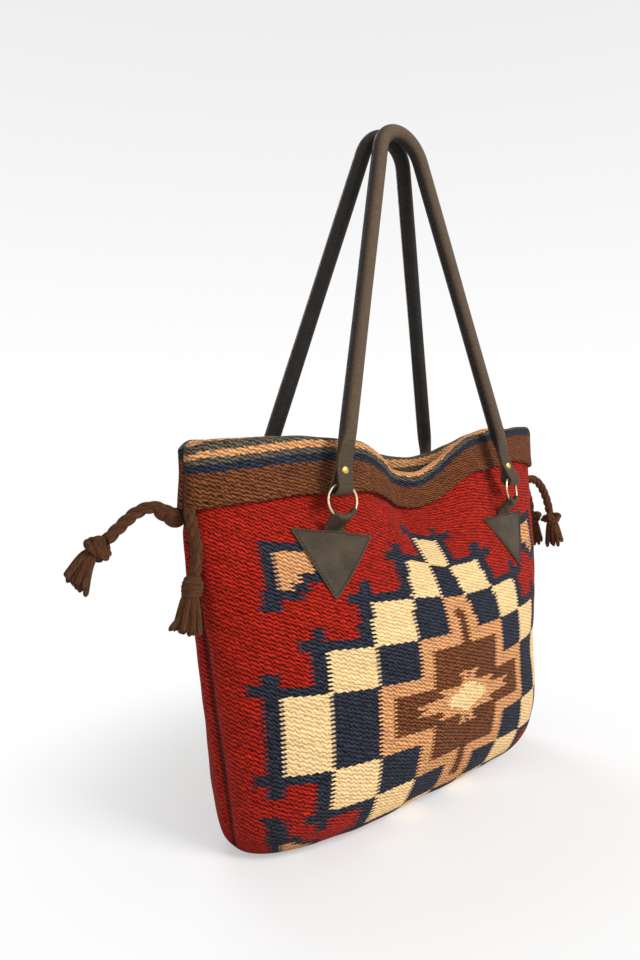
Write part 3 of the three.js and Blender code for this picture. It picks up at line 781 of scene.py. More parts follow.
def pass_shape(rows, columns, closed):
    """Relief of the passes, and how far vertices move along row and column to give them slanting points."""
    row = np.arange(rows)[:, None]
    column = np.arange(columns)[None, :]
    crown = (row + column // CELLS_PER_WARP) % 2
    tip = column % CELLS_PER_WARP == 0
    relief = np.where(tip, TIP_RELIEF, crown)
    if not closed:
        tip = tip & (column > 0) & (column < columns - 1)
    begins = np.where(tip, 2.0 * crown - 1.0, 0.0)
    return relief, -PASS_POINT * begins, PASS_SLANT * begins


def weft_passes(rows, columns):
    """For each face, the warp that it lies on and the row at the middle of its weft."""
    row = np.arange(rows)[:, None]
    warp = np.arange(columns)[None, :] // CELLS_PER_WARP
    middle = np.where((row + warp) % 2 == 1, row, row + 1)
    return np.broadcast_to(warp, middle.shape), middle


def grid_ways(points, closed):
    """Directions along the rows of a grid of points, along its columns and square to both."""
    if closed:
        across = unit(np.roll(points, -1, axis=1) - np.roll(points, 1, axis=1))
    else:
        across = unit(np.gradient(points, axis=1))
    up = unit(np.gradient(points, axis=0))
    return across, up, unit(np.cross(across, up))


def hand_waves(x, z):
    """Slow unevenness of a hand-woven cloth: a long wave and a short one that cross each other."""
    long_wave = np.sin(x / 17.0 + 1.3 * np.sin(z / 41.0)) * np.sin(z / 23.0 + 0.8)
    return long_wave + 0.6 * np.sin(x / 7.3 + z / 11.0) * np.sin(z / 9.1 - x / 29.0)


def add_cloth(names, points, dyes, across, up, closed=False, outward=1.0, shade=1.0, cut_row=0):
    """Woven pieces from a grid of points: dyes for its faces, which are painted with shade between the
    passes and along the side seams, and places across and up the flat rug.

    With two names the grid is cut into two pieces at a row.
    """
    rows, columns = points.shape[:2]
    flat = stacked(across[None, :], up[:, None], 0.0)
    relief, along_row, along_column = pass_shape(rows, columns, closed)
    row_way, column_way, normal = grid_ways(points, closed)
    lift = relief * WEFT_RELIEF + hand_waves(points[..., 0], points[..., 2]) * WAVE_HEIGHT
    shown = points + normal * (outward * lift)[..., None]
    shown = shown + row_way * along_row[..., None] + column_way * along_column[..., None]
    warp, middle = weft_passes(rows - 1, columns if closed else columns - 1)
    draw = chance.normal(0.0, 1.0, size=(warp.max() + 1, middle.max() + 1))[warp, middle]
    strength = np.clip(1.0 + draw * DYE_SPREAD[dyes], 0.4, 1.6) * shade
    tint = DYES[dyes] * strength[..., None]
    cuts = [0, rows - 1] if len(names) == 1 else [0, cut_row, rows - 1]
    pieces = []
    for name, first, last in zip(names, cuts[:-1], cuts[1:]):
        quads = grid_quads(last - first + 1, columns, closed)
        if outward < 0:
            quads = quads[:, ::-1]
        band = slice(first, last + 1)
        piece = add_piece(name, shown[band].reshape(-1, 3), quads, cloth, "bag")
        # Painted shade: each pass is painted darker towards the hollows between passes, and with the painted
        # seam shade this goes into the dye layer.
        gap_shade = DYE_GAP_SHADE[dyes[first:last]].reshape(-1, 1)
        depth = lerp(gap_shade, 1.0, relief[band].reshape(-1)[quads])
        corners = np.ones((*quads.shape, 4))
        corners[..., :3] = np.clip(tint[first:last].reshape(-1, 1, 3) * depth[..., None], 0.0, 1.0)
        # The dye layer carries the dye together with its painted shade.
        layer = piece.data.color_attributes.new("dye", "FLOAT_COLOR", "CORNER")
        layer.data.foreach_set("color", corners.astype(np.float32).ravel())
        set_layer(piece, "weave", flat[band].reshape(-1, 3))
        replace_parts(piece, "woven_body")
        pieces.append(piece)
    return pieces


# The two faces of the bag, each half of the rug

SECTION_STEPS = 1200
MERIDIAN_STEPS = 2000
HEIGHTS = np.linspace(0.0, BAG_HEIGHT, MERIDIAN_STEPS)
# Length of rug up the middle of a face, from the fold under the base
ARCS = BASE_HALF_DEPTH + path_lengths(stacked(HEIGHTS, half_depth(HEIGHTS)))
MEDALLION_ARC = np.interp(MEDALLION_HEIGHT, HEIGHTS, ARCS)
PANEL_TOP = 316.0
FOOT_ARC = 84.0
# Painted shade with dark stitching along the side seams: how much darker the cloth is painted there, and
# from and to where across the rug.
SEAM_SHADE = 0.75
SEAM_SHADE_FROM = RUG_HALF_WIDTH - 6.0
SEAM_SHADE_TO = RUG_HALF_WIDTH - 1.0
RUG_COLUMNS = int(round(2 * RUG_HALF_WIDTH / WARP_PITCH)) * CELLS_PER_WARP
RUG_ACROSS = np.linspace(-RUG_HALF_WIDTH, RUG_HALF_WIDTH, RUG_COLUMNS + 1)


def section_angles(z):
    """Angles round the front of the section at height z, one for each edge of a warp.

    Where the section is narrower than the rug, the cloth is gathered towards the side seams.
    """
    turn = np.linspace(np.pi / 2.0, 0.0, SECTION_STEPS)
    x = half_width(z) * np.cos(turn) ** (2.0 / section_power(z))
    length = path_lengths(stacked(x, -half_depth(z) * np.sin(turn)))
    away = np.abs(RUG_ACROSS)
    reach = away - (RUG_HALF_WIDTH - length[-1]) * (away / RUG_HALF_WIDTH) ** 3
    angle = np.interp(reach, length, turn)
    return np.where(RUG_ACROSS < 0, np.pi - angle, angle)


def panel_row(arc, behind):
    """A weft row of the outer face. Rows spread towards the seams, because the middle of the face bulges."""
    height = float(np.interp(arc, ARCS, HEIGHTS))
    angle = section_angles(height)
    share = np.abs(np.cos(angle)) ** (2.0 / section_power(height))
    fade = smoothstep(height, 0.0, ROW_TILT_FROM) * (1.0 - smoothstep(height, ROW_TILT_TO, BAG_HEIGHT))
    z = height + ROW_TILT * (height - MEDALLION_HEIGHT) * fade * share**2
    row = wall_points(-angle if behind else angle, z, 0.0)
    row[:, 1] *= min(1.0, arc / BASE_HALF_DEPTH)
    return row


def woven_panel(name, behind):
    """The outer face of the front or the back, from the fold under the base to behind the cuff.

    Its foot is a piece of its own, which goes round the lower edge.
    """
    top = float(np.interp(PANEL_TOP, HEIGHTS, ARCS))
    arcs = np.arange(0.0, top, ROW_PITCH)
    points = np.array([panel_row(arc, behind) for arc in arcs])
    warp, middle = weft_passes(len(arcs) - 1, RUG_COLUMNS)
    tooth = np.where(middle // 2 % 2 == 0, WARP_PITCH / 2, -WARP_PITCH / 2)
    u = (warp + 0.5) * WARP_PITCH - RUG_HALF_WIDTH + tooth
    v = middle * ROW_PITCH - MEDALLION_ARC
    dyes = woven_dye(u, v) if behind else woven_dye(*round_the_fold(u, v))
    outward = -1.0 if behind else 1.0
    shade = 1.0 - SEAM_SHADE * smoothstep(np.abs(u - tooth), SEAM_SHADE_FROM, SEAM_SHADE_TO)
    foot, panel = add_cloth(
        [f"{name}_foot", name], points, dyes, outward * RUG_ACROSS, arcs,
        outward=outward, shade=shade, cut_row=int(FOOT_ARC / ROW_PITCH),
    )
    return foot, panel, top


# The cuff, the fold of the mouth and the inside

# The cuff's stripes and what follows them inside the mouth, from the cuff's lower edge: dye and width
CUFF_STRIPES = [
    (BROWN, 31.0), (NAVY, 7.5), (GREY, 5.5), (TAN, 6.5), (GREY, 9.0), (TAN, 8.0), (GREY, 7.0),
    (CREAM, 3.0), (NAVY, 8.0), (BROWN, 14.0),
]
# The fold runs askew: towards the right end less of the stripes is left outside, towards the left end more
STRIPE_SKEW = 0.21
STRIPE_SKEW_PLACES = (-60.0, 120.0)
LEFT_STRIPE_SKEW = 0.17
LEFT_SKEW_TO = -70.0
# The ends of the fold sink: how far, and over what length of the mouth
END_DROP = 5.0
END_REACH = 16.0
RIGHT_END_DROP = 11.0
RIGHT_END_REACH = 26.0
FOLD_BAND = 26.0
# The cuff is turned less far towards the right: places along the mouth and how far its edge is up there
EDGE_PLACES = [-239.0, -205.0, -130.0, -85.0, 0.0, 105.0, 150.0, 195.0, 239.0]
EDGE_RISES = [-3.0, 0.5, 2.0, 6.5, 9.5, 15.5, 18.0, 14.0, 4.0]
EDGE_SMOOTHING = 8
EDGE_NOTCH = 0.5
EDGE_WANDER = 1.1
EDGE_RIPPLE = 0.6
EDGE_BAND = 2.5
# Where the flat places of the cuff and the inside begin, away from those of the panels
CUFF_FLAT = 700.0
INSIDE_FLAT = 1400.0
INSIDE_TOP = BAG_HEIGHT - 56.0
INSIDE_PATTERN_TOP = 190.0
INSIDE_ROW = 4 * ROW_PITCH


def stripe_dye(distance):
    """The dye at a distance from the cuff's lower edge; the red field follows the last stripe."""
    ends = np.cumsum([width for _, width in CUFF_STRIPES])
    dyes = np.array([dye for dye, _ in CUFF_STRIPES] + [RED])
    return dyes[np.searchsorted(ends, distance, side="right")]


def cuff_profile():
    """Heights and standings of the turned-out end: up its back, round its edge, up its face, over and in."""
    face = CUFF_EDGE_GAP + CUFF_THICKNESS
    half = CUFF_THICKNESS / 2
    fold = (face + CLOTH_THICKNESS) / 2
    turn = np.linspace(0.0, np.pi, 7)
    back = np.arange(CUFF_EDGE + CUFF_BACK, CUFF_EDGE + half, -ROW_PITCH)
    rise = np.arange(CUFF_EDGE + half + ROW_PITCH, BAG_HEIGHT - fold, ROW_PITCH)
    arc = np.linspace(0.0, np.pi, int(np.pi * fold / ROW_PITCH))
    down = np.arange(BAG_HEIGHT - fold - ROW_PITCH, BAG_HEIGHT - CUFF_INSIDE, -ROW_PITCH)
    hollow = CUFF_HOLLOW * np.sin(np.pi * (rise - CUFF_EDGE) / CUFF_HEIGHT)
    profile = np.vstack([
        stacked(back, CUFF_EDGE_GAP),
        stacked(CUFF_EDGE + half * (1 - np.sin(turn)), CUFF_EDGE_GAP + half * (1 - np.cos(turn))),
        stacked(rise, face - hollow),
        stacked(BAG_HEIGHT + fold * (np.sin(arc) - 1), face - fold * (1 - np.cos(arc))),
        stacked(down, -CLOTH_THICKNESS),
    ])
    return profile, len(back) + len(turn) // 2


def ring_angles(z):
    """Angles all round the bag, along the front and home along the back, one for each warp edge."""
    front = section_angles(z)
    return np.concatenate([front[:-1], -front[:0:-1]])


def cuff_heights(profile, angles, mouth_x):
    """Heights of the cuff's rows all round: its edge wanders and rises, and the ends of its fold sink."""
    height = profile[:, :1]
    outside = (np.arange(len(profile)) < len(profile) // 2)[:, None]
    wander = EDGE_WANDER * np.sin(mouth_x / 31.0 + 0.4)
    wander = wander + EDGE_RIPPLE * np.sin(mouth_x / 12.0 + np.sign(np.sin(angles)))
    free = outside * (1.0 - smoothstep(height, CUFF_EDGE, CUFF_EDGE + FOLD_BAND))
    notch = EDGE_NOTCH * np.where(np.arange(len(angles)) // CELLS_PER_WARP % 2 == 0, 1.0, -1.0)
    at_edge = free * (1.0 - smoothstep(height, CUFF_EDGE, CUFF_EDGE + EDGE_BAND))
    turned = outside * (1.0 - np.clip((height - CUFF_EDGE) / CUFF_HEIGHT, 0.0, 1.0))
    rise = np.pad(np.interp(mouth_x, EDGE_PLACES, EDGE_RISES), EDGE_SMOOTHING, mode="wrap")
    window = 2 * EDGE_SMOOTHING + 1
    rise = np.convolve(rise, np.full(window, 1.0 / window), mode="valid")
    at_fold = smoothstep(height, BAG_HEIGHT - FOLD_BAND, BAG_HEIGHT)
    drop = END_DROP * smoothstep(-mouth_x, MOUTH_HALF_WIDTH - END_REACH, MOUTH_HALF_WIDTH)
    drop = drop + RIGHT_END_DROP * smoothstep(mouth_x, MOUTH_HALF_WIDTH - RIGHT_END_REACH, MOUTH_HALF_WIDTH)
    return height + wander * free + rise * turned + notch * at_edge - at_fold * drop


def turned_cuff():
    """The rug's ends turned outward over the mouth, with the stripes woven into them."""
    profile, edge_row = cuff_profile()
    angles = ring_angles(BAG_HEIGHT - CUFF_HEIGHT / 2)
    mouth_x = wall_points(angles, CUFF_EDGE, 0.0)[:, 0]
    points = wall_points(angles[None, :], cuff_heights(profile, angles, mouth_x), profile[:, 1:])
    distance = path_lengths(profile) - path_lengths(profile)[edge_row]
    _, middle = weft_passes(len(profile) - 1, len(angles))
    from_edge = np.maximum(0.0, distance[np.minimum(middle, len(profile) - 1)])
    seen_x = mouth_x * np.where(np.sin(angles) > 0, 1.0, -1.0)
    skew = STRIPE_SKEW * smoothstep(seen_x, *STRIPE_SKEW_PLACES)
    skew = skew - LEFT_STRIPE_SKEW * (1.0 - smoothstep(seen_x, -MOUTH_HALF_WIDTH, LEFT_SKEW_TO))
    dyes = stripe_dye(from_edge * (1.0 - skew))
    along = np.arange(len(angles)) * WARP_PITCH / CELLS_PER_WARP
    return add_cloth(["turned_cuff"], points, dyes, along, distance + CUFF_FLAT, closed=True)[0]


def inside_face():
    """The inner face of the rug below the mouth, down to the inside of the base."""
    angles = ring_angles(BELLY_HEIGHT)
    heights = np.arange(INSIDE_TOP, CLOTH_THICKNESS, -INSIDE_ROW)
    rows = [wall_points(angles, z, -CLOTH_THICKNESS) for z in heights]
    floor = wall_points(angles, CLOTH_THICKNESS, -CLOTH_THICKNESS)
    for share in np.linspace(1.0, 0.0, 6):
        rows.append(floor * [1.0, share, 1.0])
    points = np.array(rows)
    warp, middle = weft_passes(len(points) - 1, len(angles))
    u = (warp % (RUG_COLUMNS // CELLS_PER_WARP) + 0.5) * WARP_PITCH - RUG_HALF_WIDTH
    arc = np.interp(points[:, 0, 2], HEIGHTS, ARCS)
    v = np.minimum(arc[np.minimum(middle, len(arc) - 1)] - MEDALLION_ARC, INSIDE_PATTERN_TOP)
    along = np.arange(len(angles)) * WARP_PITCH / CELLS_PER_WARP
    return add_cloth(["inside_face"], points, woven_dye(u, v), along, arc + INSIDE_FLAT, closed=True)[0]


front_foot, front_panel, panel_length = woven_panel("front_panel", behind=False)
back_foot, back_panel, _ = woven_panel("back_panel", behind=True)
cuff = turned_cuff()
inside = inside_face()


# Cords: the same routes as the solids, in millimetres

OUTWARD_CORD = [
    [-235.8, 9, 279.4], [-241, 9.6, 279.8], [-245.6, 10.2, 281], [-248.2, 10.6, 282.1],
    [-250.8, 11, 283.2], [-253.6, 11.3, 284.5], [-256.6, 11.6, 285.4], [-259.8, 11.9, 286],
    [-263, 12.2, 286], [-269, 12.8, 284.6], [-275, 13.4, 281.8], [-280.5, 14, 277.8],
    [-286, 14.6, 273.2], [-291.5, 15.2, 268.4], [-297, 15.8, 263.6],
]
HANGING_CORD = [
    [-241.4, -8, 285.6], [-241.2, -8.3, 282.3], [-240.9, -8.6, 279], [-240.5, -9.1, 275.9],
    [-240.1, -9.6, 272.8], [-239.7, -10.2, 269.7], [-239.3, -10.8, 266.6], [-238.9, -11.3, 263.5],
    [-238.6, -11.8, 260.4], [-238.3, -12.2, 257.3], [-238.2, -12.6, 254.2], [-238.3, -13, 251.1],
    [-238.6, -13.4, 248], [-239.8, -14, 241.8], [-241.8, -14.6, 234.6],
]
DROOPING_CORD = [
    [236.4, -9, 294], [239.5, -9.2, 294.3], [242.6, -9.4, 294.4], [245.3, -9.7, 294.2],
    [248, -10, 293.8], [250.8, -10.3, 292.8], [253.6, -10.6, 291.6], [256.3, -10.9, 289.9],
    [259, -11.2, 288], [264, -11.6, 283.4], [268.4, -12, 278], [272.2, -12.4, 272.2],
    [275.4, -12.6, 266.2], [278.2, -12.8, 260], [280.6, -13, 253.8],
]
DROOPING_CORD_BEHIND = [[x, -y, z] for x, y, z in DROOPING_CORD]


def twisted_plies(shells, line, diameter):
    """Lays the plies of a twisted cord along a line."""
    ply = PLY_SHARE * diameter / 2
    side, other = line_frames(line)
    for k in range(CORD_PLIES):
        turn = 2 * np.pi * (path_lengths(line) / PLY_PITCH + k / CORD_PLIES)
        shells.add(*tube(line + circled(turn, side, other) * (diameter / 2 - ply), ply, 12))


def yarn_piece(shells, name, node):
    piece = shells.piece(name, yarn, "bag", "cord_yarn")
    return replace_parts(piece, node) if node else piece


def corner_cord(name, route, tie, stray=(0.0, 0.0, 0.0)):
    """A cord of the rug's corner with the knot that ends it and the brush of loose yarn below."""
    line = smooth_line(route, CORD_STEPS)
    shells = Shells()
    twisted_plies(shells, line, CORD_DIAMETER * CORD_SWELL)
    piece = shells.piece(f"{name}_twisted_cord", yarn, "bag", "cord_yarn")
    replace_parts(piece, f"{name}_cord")
    way = unit(line[-1] - line[-1 - CORD_STEPS])
    knot = tie(name, line[-1] + way * SEAT_GAP, way)
    brush = yarn_brush(name, line[-1] + way * (KNOT_LENGTH + 2 * SEAT_GAP), way, stray)


def cord_axes(way):
    """Two directions square to the cord's own, the first of them level."""
    level = unit(np.cross([0.0, 0.0, 1.0], way))
    return level, np.cross(way, level)


def overhand_knot(name, start, way):
    """The cord wound once through its own loop and drawn tight."""
    level, other = cord_axes(way)
    turn = np.linspace(0.0, 2 * np.pi, 120)[:, None]
    wide = KNOT_DIAMETER * KNOT_SWELL / 2 - KNOT_WRAP
    tall = KNOT_LENGTH * KNOT_SWELL / 2 - KNOT_WRAP
    a = (np.sin(turn) + 2 * np.sin(2 * turn)) / 3 * wide
    b = (np.cos(turn) - 2 * np.cos(2 * turn)) / 3 * tall
    c = -np.sin(3 * turn) * wide * 0.75
    shells = Shells()
    twisted_plies(shells, start + way * KNOT_LENGTH / 2 + a * level + b * way + c * other, 2 * KNOT_WRAP)
    return yarn_piece(shells, f"{name}_tied_knot", f"{name}_knot")


def whipped_end(name, start, way):
    """Yarn wound round the cord's end to hold it together."""
    turn = np.linspace(0.0, 2 * np.pi * WHIP_TURNS, 180)
    share = (turn / turn[-1])[:, None]
    bulge = WHIP_RADIUS + WHIP_BULGE * np.sin(np.pi * share)
    along = lerp(WHIP_MARGIN, KNOT_LENGTH - WHIP_MARGIN, share)
    shells = Shells()
    shells.add(*tube(start + way * along + circled(turn, *cord_axes(way)) * bulge, WHIP_YARN, 10))
    core = start + way * np.linspace(-1.0, KNOT_LENGTH + 1.0, 24)[:, None]
    twisted_plies(shells, core, CORD_DIAMETER * CORD_SWELL)
    return yarn_piece(shells, f"{name}_whipped_end", f"{name}_knot")


def yarn_brush(name, start, way, stray):
    """Loose yarns that spread below the knot and droop at their ends; the first of them may stray."""
    level, other = cord_axes(way)
    sag = np.array([-BRUSH_SAG * way[0], -BRUSH_SAG * way[1], -BRUSH_FALL])
    share = np.linspace(0.0, 1.0, 24)
    taper = YARN_RADIUS * np.sqrt(np.clip(1.0 - ((share - 0.5) / 0.503) ** 12, 0.03, 1.0))
    shells = Shells()
    for k in range(BRUSH_YARNS):
        turn = YARN_TURN * k
        away = math.cos(turn) * level + math.sin(turn) * other
        reach = BRUSH_LENGTH * chance.uniform(*YARN_REACHES) + YARN_HIDDEN
        out = math.sqrt((k + 0.5) / BRUSH_YARNS)
        spread = lerp(YARN_HIDDEN, BRUSH_DIAMETER / 2 - YARN_BOW, share**0.9) * out
        bow = YARN_BOW * np.sin(share * np.pi * 1.3 + k)
        line = start + way * (share * reach - YARN_HIDDEN)[:, None] + away * (spread + bow)[:, None]
        drift = sag if k else sag + stray
        shells.add(*tube(line + drift * (share**1.5)[:, None], taper * lerp(1.0, 0.86, share), 10))
    return yarn_piece(shells, f"{name}_yarn_brush", f"{name}_brush")


def rolled_corner(name, route):
    """The corner of the rug, rolled up where its cord begins."""
    line = smooth_line(route, CORD_STEPS)[ROLL_PART]
    share = np.linspace(0.0, 1.0, len(line))
    turn = np.linspace(ROLL_START, ROLL_START + 2 * np.pi * ROLL_TURNS, len(line))
    roll = ROLL_COIL * np.sin(np.pi * share)
    coil = line + roll[:, None] * circled(turn, *line_frames(line))
    coil = coil - np.outer(ROLL_SAG * np.sin(np.pi * share**0.8), [0.0, 0.0, 1.0])
    girth = lerp(*ROLL_RADII, share) * np.sqrt(np.clip(1.0 - (2.0 * share - 1.0) ** 6, 0.02, 1.0))
    shells = Shells()
    shells.add(*tube(coil, girth, 18))
    return yarn_piece(shells, f"{name}_rolled_corner", None)


corner_cord("back_left", OUTWARD_CORD, overhand_knot)
corner_cord("front_left", HANGING_CORD, whipped_end, stray=(-16.0, 2.0, 6.0))
corner_cord("front_right", DROOPING_CORD, overhand_knot)
corner_cord("back_right", DROOPING_CORD_BEHIND, overhand_knot)
rolled_corner("back_left", OUTWARD_CORD)


# One side of the bag with its tabs, rings and handle


class Side:
    """The front or the back. The back carries the same pieces, turned half round."""

    def __init__(self, name):
        self.name = name
        self.behind = name == "back"
        low = self.turned(joint_places[f"{name}_left_ring_swing"])
        high = self.turned(joint_places[f"{name}_handle_swing"])
        self.low, self.high = low[1:], high[1:]
        self.rise = unit(high - low)
        self.deep = np.array([0.0, self.rise[2], -self.rise[1]])

    def turned(self, points):
        return points * [-1.0, -1.0, 1.0] if self.behind else points

    def placed(self, points, hinge):
        """Points in the leaning plane of the handle (x, depth, height from a hinge) to the bag's frame."""
        points = np.asarray(points, float)
        start = np.array([0.0, *hinge])
        leaning = points[..., 1:2] * self.deep + points[..., 2:] * self.rise
        return self.turned(start + points[..., :1] * [1.0, 0.0, 0.0] + leaning)


def strap_section(width, thickness):
    """Outline of a strip in section, and how much of each point shows as cut edge."""
    half = width / 2
    deep = thickness / 2
    soft = thickness * 0.35
    slight = soft * 0.3
    across = np.array([-half + soft, -half * 0.5, 0.0, half * 0.5, half - soft])
    front = stacked(across, deep)
    right = np.array([[half - slight, deep - slight], [half, 0.0], [half - slight, slight - deep]])
    cut = np.tile([0.0] * 5 + [0.6, 1.0, 0.6], 2)
    return np.vstack([front, right, -front, -right]), cut


def leather_piece(name, points, size, cut, body, leather=tab_leather):
    """Leather from a closed grid of points with size columns; cut is how much of it shows pale: as cut edge,
    and on the handles also as wear from rubbing and a painted highlight.
    """
    points = points.reshape(-1, 3)
    piece = add_piece(name, points, capped(len(points) // size, size), leather, body)
    set_layer(piece, "cut", cut)
    return face_outward(piece)


def stitch(shells, start, end, out, radius):
    """One stitch of thread: a short bowed bead between its two holes."""
    share = np.linspace(0.0, 1.0, 7)
    bow = np.sin(share * np.pi) * radius * 1.1 - radius * 0.5
    line = start + (end - start) * share[:, None] + out * bow[:, None]
    girth = radius * np.sqrt(np.clip(1.0 - ((share - 0.5) / 0.52) ** 4, 0.05, 1.0))
    shells.add(*tube(line, girth, 6))


def sew(name, body, line, values, row, place):
    """A row of stitches along a line.

    The values go with the points of the line, and place turns those at the two ends of a stitch into
    its two holes and the way out of the leather.
    """
    pitch, dash, radius = row
    along = path_lengths(line)
    count = int(along[-1] / pitch)
    shells = Shells()
    for k in range(count):
        ends = (np.array([k, k + dash]) + (1.0 - dash) / 2) * along[-1] / count
        pair = np.stack([np.interp(ends, along, column) for column in values.T], axis=1)
        stitch(shells, *place(pair), radius)
    return shells.piece(name, thread, body, "leather")


# Tabs: a sewn triangle over the ends of a strap that loops round the ring

# From the middle of the triangle's upper face to its edge and back below: share of the way, drop, cut edge
TAB_SHARES = [0.02, 0.2, 0.4, 0.6, 0.76, 0.86, 0.905, 0.935, 0.965, 0.987, 1.0, 1.0, 0.985, 0.9, 0.5, 0.02]
TAB_DROPS = [0.0, 0.0, 0.02, 0.06, 0.14, 0.3, 0.55, 0.3, 0.1, 0.25, 0.6, 1.5, 1.9, 2.0, 2.0, 2.0]
TAB_CUTS = [0.0] * 9 + [0.35, 1.0, 1.0, 0.3, 0.0, 0.0, 0.0]


def tab_outline(inset, steps):
    """The triangle with its corners cut round, drawn in by an inset; its top edge lies on the X axis."""
    corners = np.array([[-TAB_WIDTH / 2, 0.0], [0.0, -TAB_DROP], [TAB_WIDTH / 2, 0.0]])
    middle = corners.mean(axis=0)
    shrink = 1.0 - inset / TAB_INRADIUS
    corners = middle + (corners - middle) * shrink
    cut = TAB_CORNER_CUT * shrink**4
    bend = np.linspace(0.0, 1.0, 6, endpoint=False)[:, None]
    straight = np.linspace(0.0, 1.0, steps, endpoint=False)[:, None]
    outline = []
    for k in range(3):
        before, corner, after = corners[k - 1], corners[k], corners[(k + 1) % 3]
        start = corner + unit(before - corner) * cut
        end = corner + unit(after - corner) * cut
        following = after + unit(corner - after) * cut
        outline.append((1 - bend) ** 2 * start + 2 * bend * (1 - bend) * corner + bend**2 * end)
        outline.append(end + (following - end) * straight)
    return np.concatenate(outline)


def on_tab(side, hand, flat, proud):
    """Places above the tab's upper face, which swells over the strap ends below it."""
    over_strap = 1.0 - smoothstep(np.abs(flat[..., 0]), *TAB_SWELL_ACROSS)
    over_strap = over_strap * smoothstep(flat[..., 1], *TAB_SWELL_UP)
    height = SEAT_GAP + LEATHER_THICKNESS + TAB_SWELL * over_strap + proud
    turn = math.radians(TAB_TURNS[hand])
    across = flat[..., 0] - TAB_TIP_SHIFTS[hand] * flat[..., 1] / TAB_DROP
    x = across * math.cos(turn) - flat[..., 1] * math.sin(turn)
    z = across * math.sin(turn) + flat[..., 1] * math.cos(turn)
    return side.turned(above_face(hand * TAB_SPACING / 2 + x, TAB_TOP + z, side.behind, height))


def tab_triangle(side, name, hand):
    """The triangle, a little domed inside its row of stitches, with soft cut edges."""
    outline = tab_outline(0.0, 26)
    middle = outline.mean(axis=0)
    rings = []
    for share, drop in zip(TAB_SHARES, TAB_DROPS):
        rings.append(on_tab(side, hand, middle + (outline - middle) * share, TAB_DOME - drop))
    cut = np.repeat(TAB_CUTS, len(outline))
    piece = leather_piece(f"{name}_triangle", np.concatenate(rings), len(outline), cut, "bag")
    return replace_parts(piece, f"{name}_tab")


def tab_stitches(side, name, hand):
    """Thread along the three edges of the triangle."""
    line = tab_outline(TAB_STITCH_INSET, 60)
    line = np.vstack([line, line[:1]])

    def place(flat):
        low = on_tab(side, hand, flat, -STITCH_SINK)
        high = on_tab(side, hand, flat, 1.0 - STITCH_SINK)
        return low[0], low[1], unit(high[0] - low[0])

    return sew(f"{name}_tab_stitches", "bag", line, line, TAB_STITCHES, place)


def tab_strap(side, name, hand):
    """The strap whose two ends lie under the triangle. Its bend hugs the ring's wire and is turned to the
    ring's slant.
    """
    tab_x = hand * TAB_SPACING / 2
    yaw = math.radians(RING_YAW) * hand
    outline, cut = strap_section(STRAP_WIDTH, STRAP_THICKNESS)
    bend_radius = RING_WIRE / 2 + STRAP_FIT + STRAP_THICKNESS / 2
    turns = np.radians(np.linspace(*STRAP_BEND, 11))
    columns = []
    for across, thick in outline:
        x = np.array(tab_x + across)
        foot = above_face(x, np.array(STRAP_FOOT), side.behind, STRAP_FOOT_STANDING)[1:]
        waist = above_face(x, np.array(STRAP_WAIST), side.behind, STRAP_WAIST_STANDING)[1:]
        up = RING_CENTRE - math.sqrt(RING_RADIUS**2 - across**2)
        wire = side.low + up * side.rise[1:] + across * math.sin(yaw) * side.deep[1:]
        way = unit(wire - waist)
        out = np.array([-way[1], way[0]])
        rising = np.array([foot, waist, lerp(waist, wire, 0.5)])
        layer = out * STRAP_LAYER
        bend = wire + bend_radius * circled(turns, out, way)
        plane = np.vstack([rising + layer, bend, rising[::-1] - layer])
        turned = smoothstep(plane[:, 1], TAB_TOP, STRAP_YAW_TOP)
        x = tab_x + across * lerp(1.0, math.cos(yaw), turned)
        line = smooth_line(np.column_stack([x, plane]), 5)
        forward = unit(np.gradient(line, axis=0))
        columns.append(line + thick * unit(stacked(0.0, -forward[:, 2], forward[:, 1])))
    points = side.turned(np.stack(columns, axis=1))
    piece = leather_piece(f"{name}_strap", points, len(columns), np.tile(cut, len(points)), None)
    ends = np.array([[tab_x, side.low[0], z] for z in (STRAP_WAIST, side.low[1] - STRAP_BLEND_END)])
    start, end = side.turned(ends) * MM
    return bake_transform(piece)


# Rings, handles and rivets

BEND_CENTRE = HANDLE_RISE - HANDLE_BEND_RADIUS
LEG_TURN = math.atan2(TAB_SPACING / 2, BEND_CENTRE) - math.asin(
    HANDLE_BEND_RADIUS / math.hypot(TAB_SPACING / 2, BEND_CENTRE)
)
LEG_SLOPE = math.tan(LEG_TURN)
NECK_TOP = HANDLE_END_LENGTH + HANDLE_NECK_LENGTH
NECK_FOOT = HANDLE_END_LENGTH + 4.0
SLEEVE_OVERLAP = 2.0
LEG_FOOT = NECK_TOP + 4.0
LEG_TOP = 292.0
# How square and how thick the sleeve is at its flat ends
FLAT_POWER = 0.35
FLAT_HALF_DEPTH = LEATHER_THICKNESS - 0.3
# The sewn groove on the inner side and the lips beside it: shares of the radius, and angles
GROOVE_DEPTH = 0.11
GROOVE_WIDTH = 0.1
LIP_HEIGHT = 0.035
LIP_TURN = 0.3
LIP_WIDTH = 0.16
SEAM_REACH = HANDLE_DIAMETER / 2 * 0.9


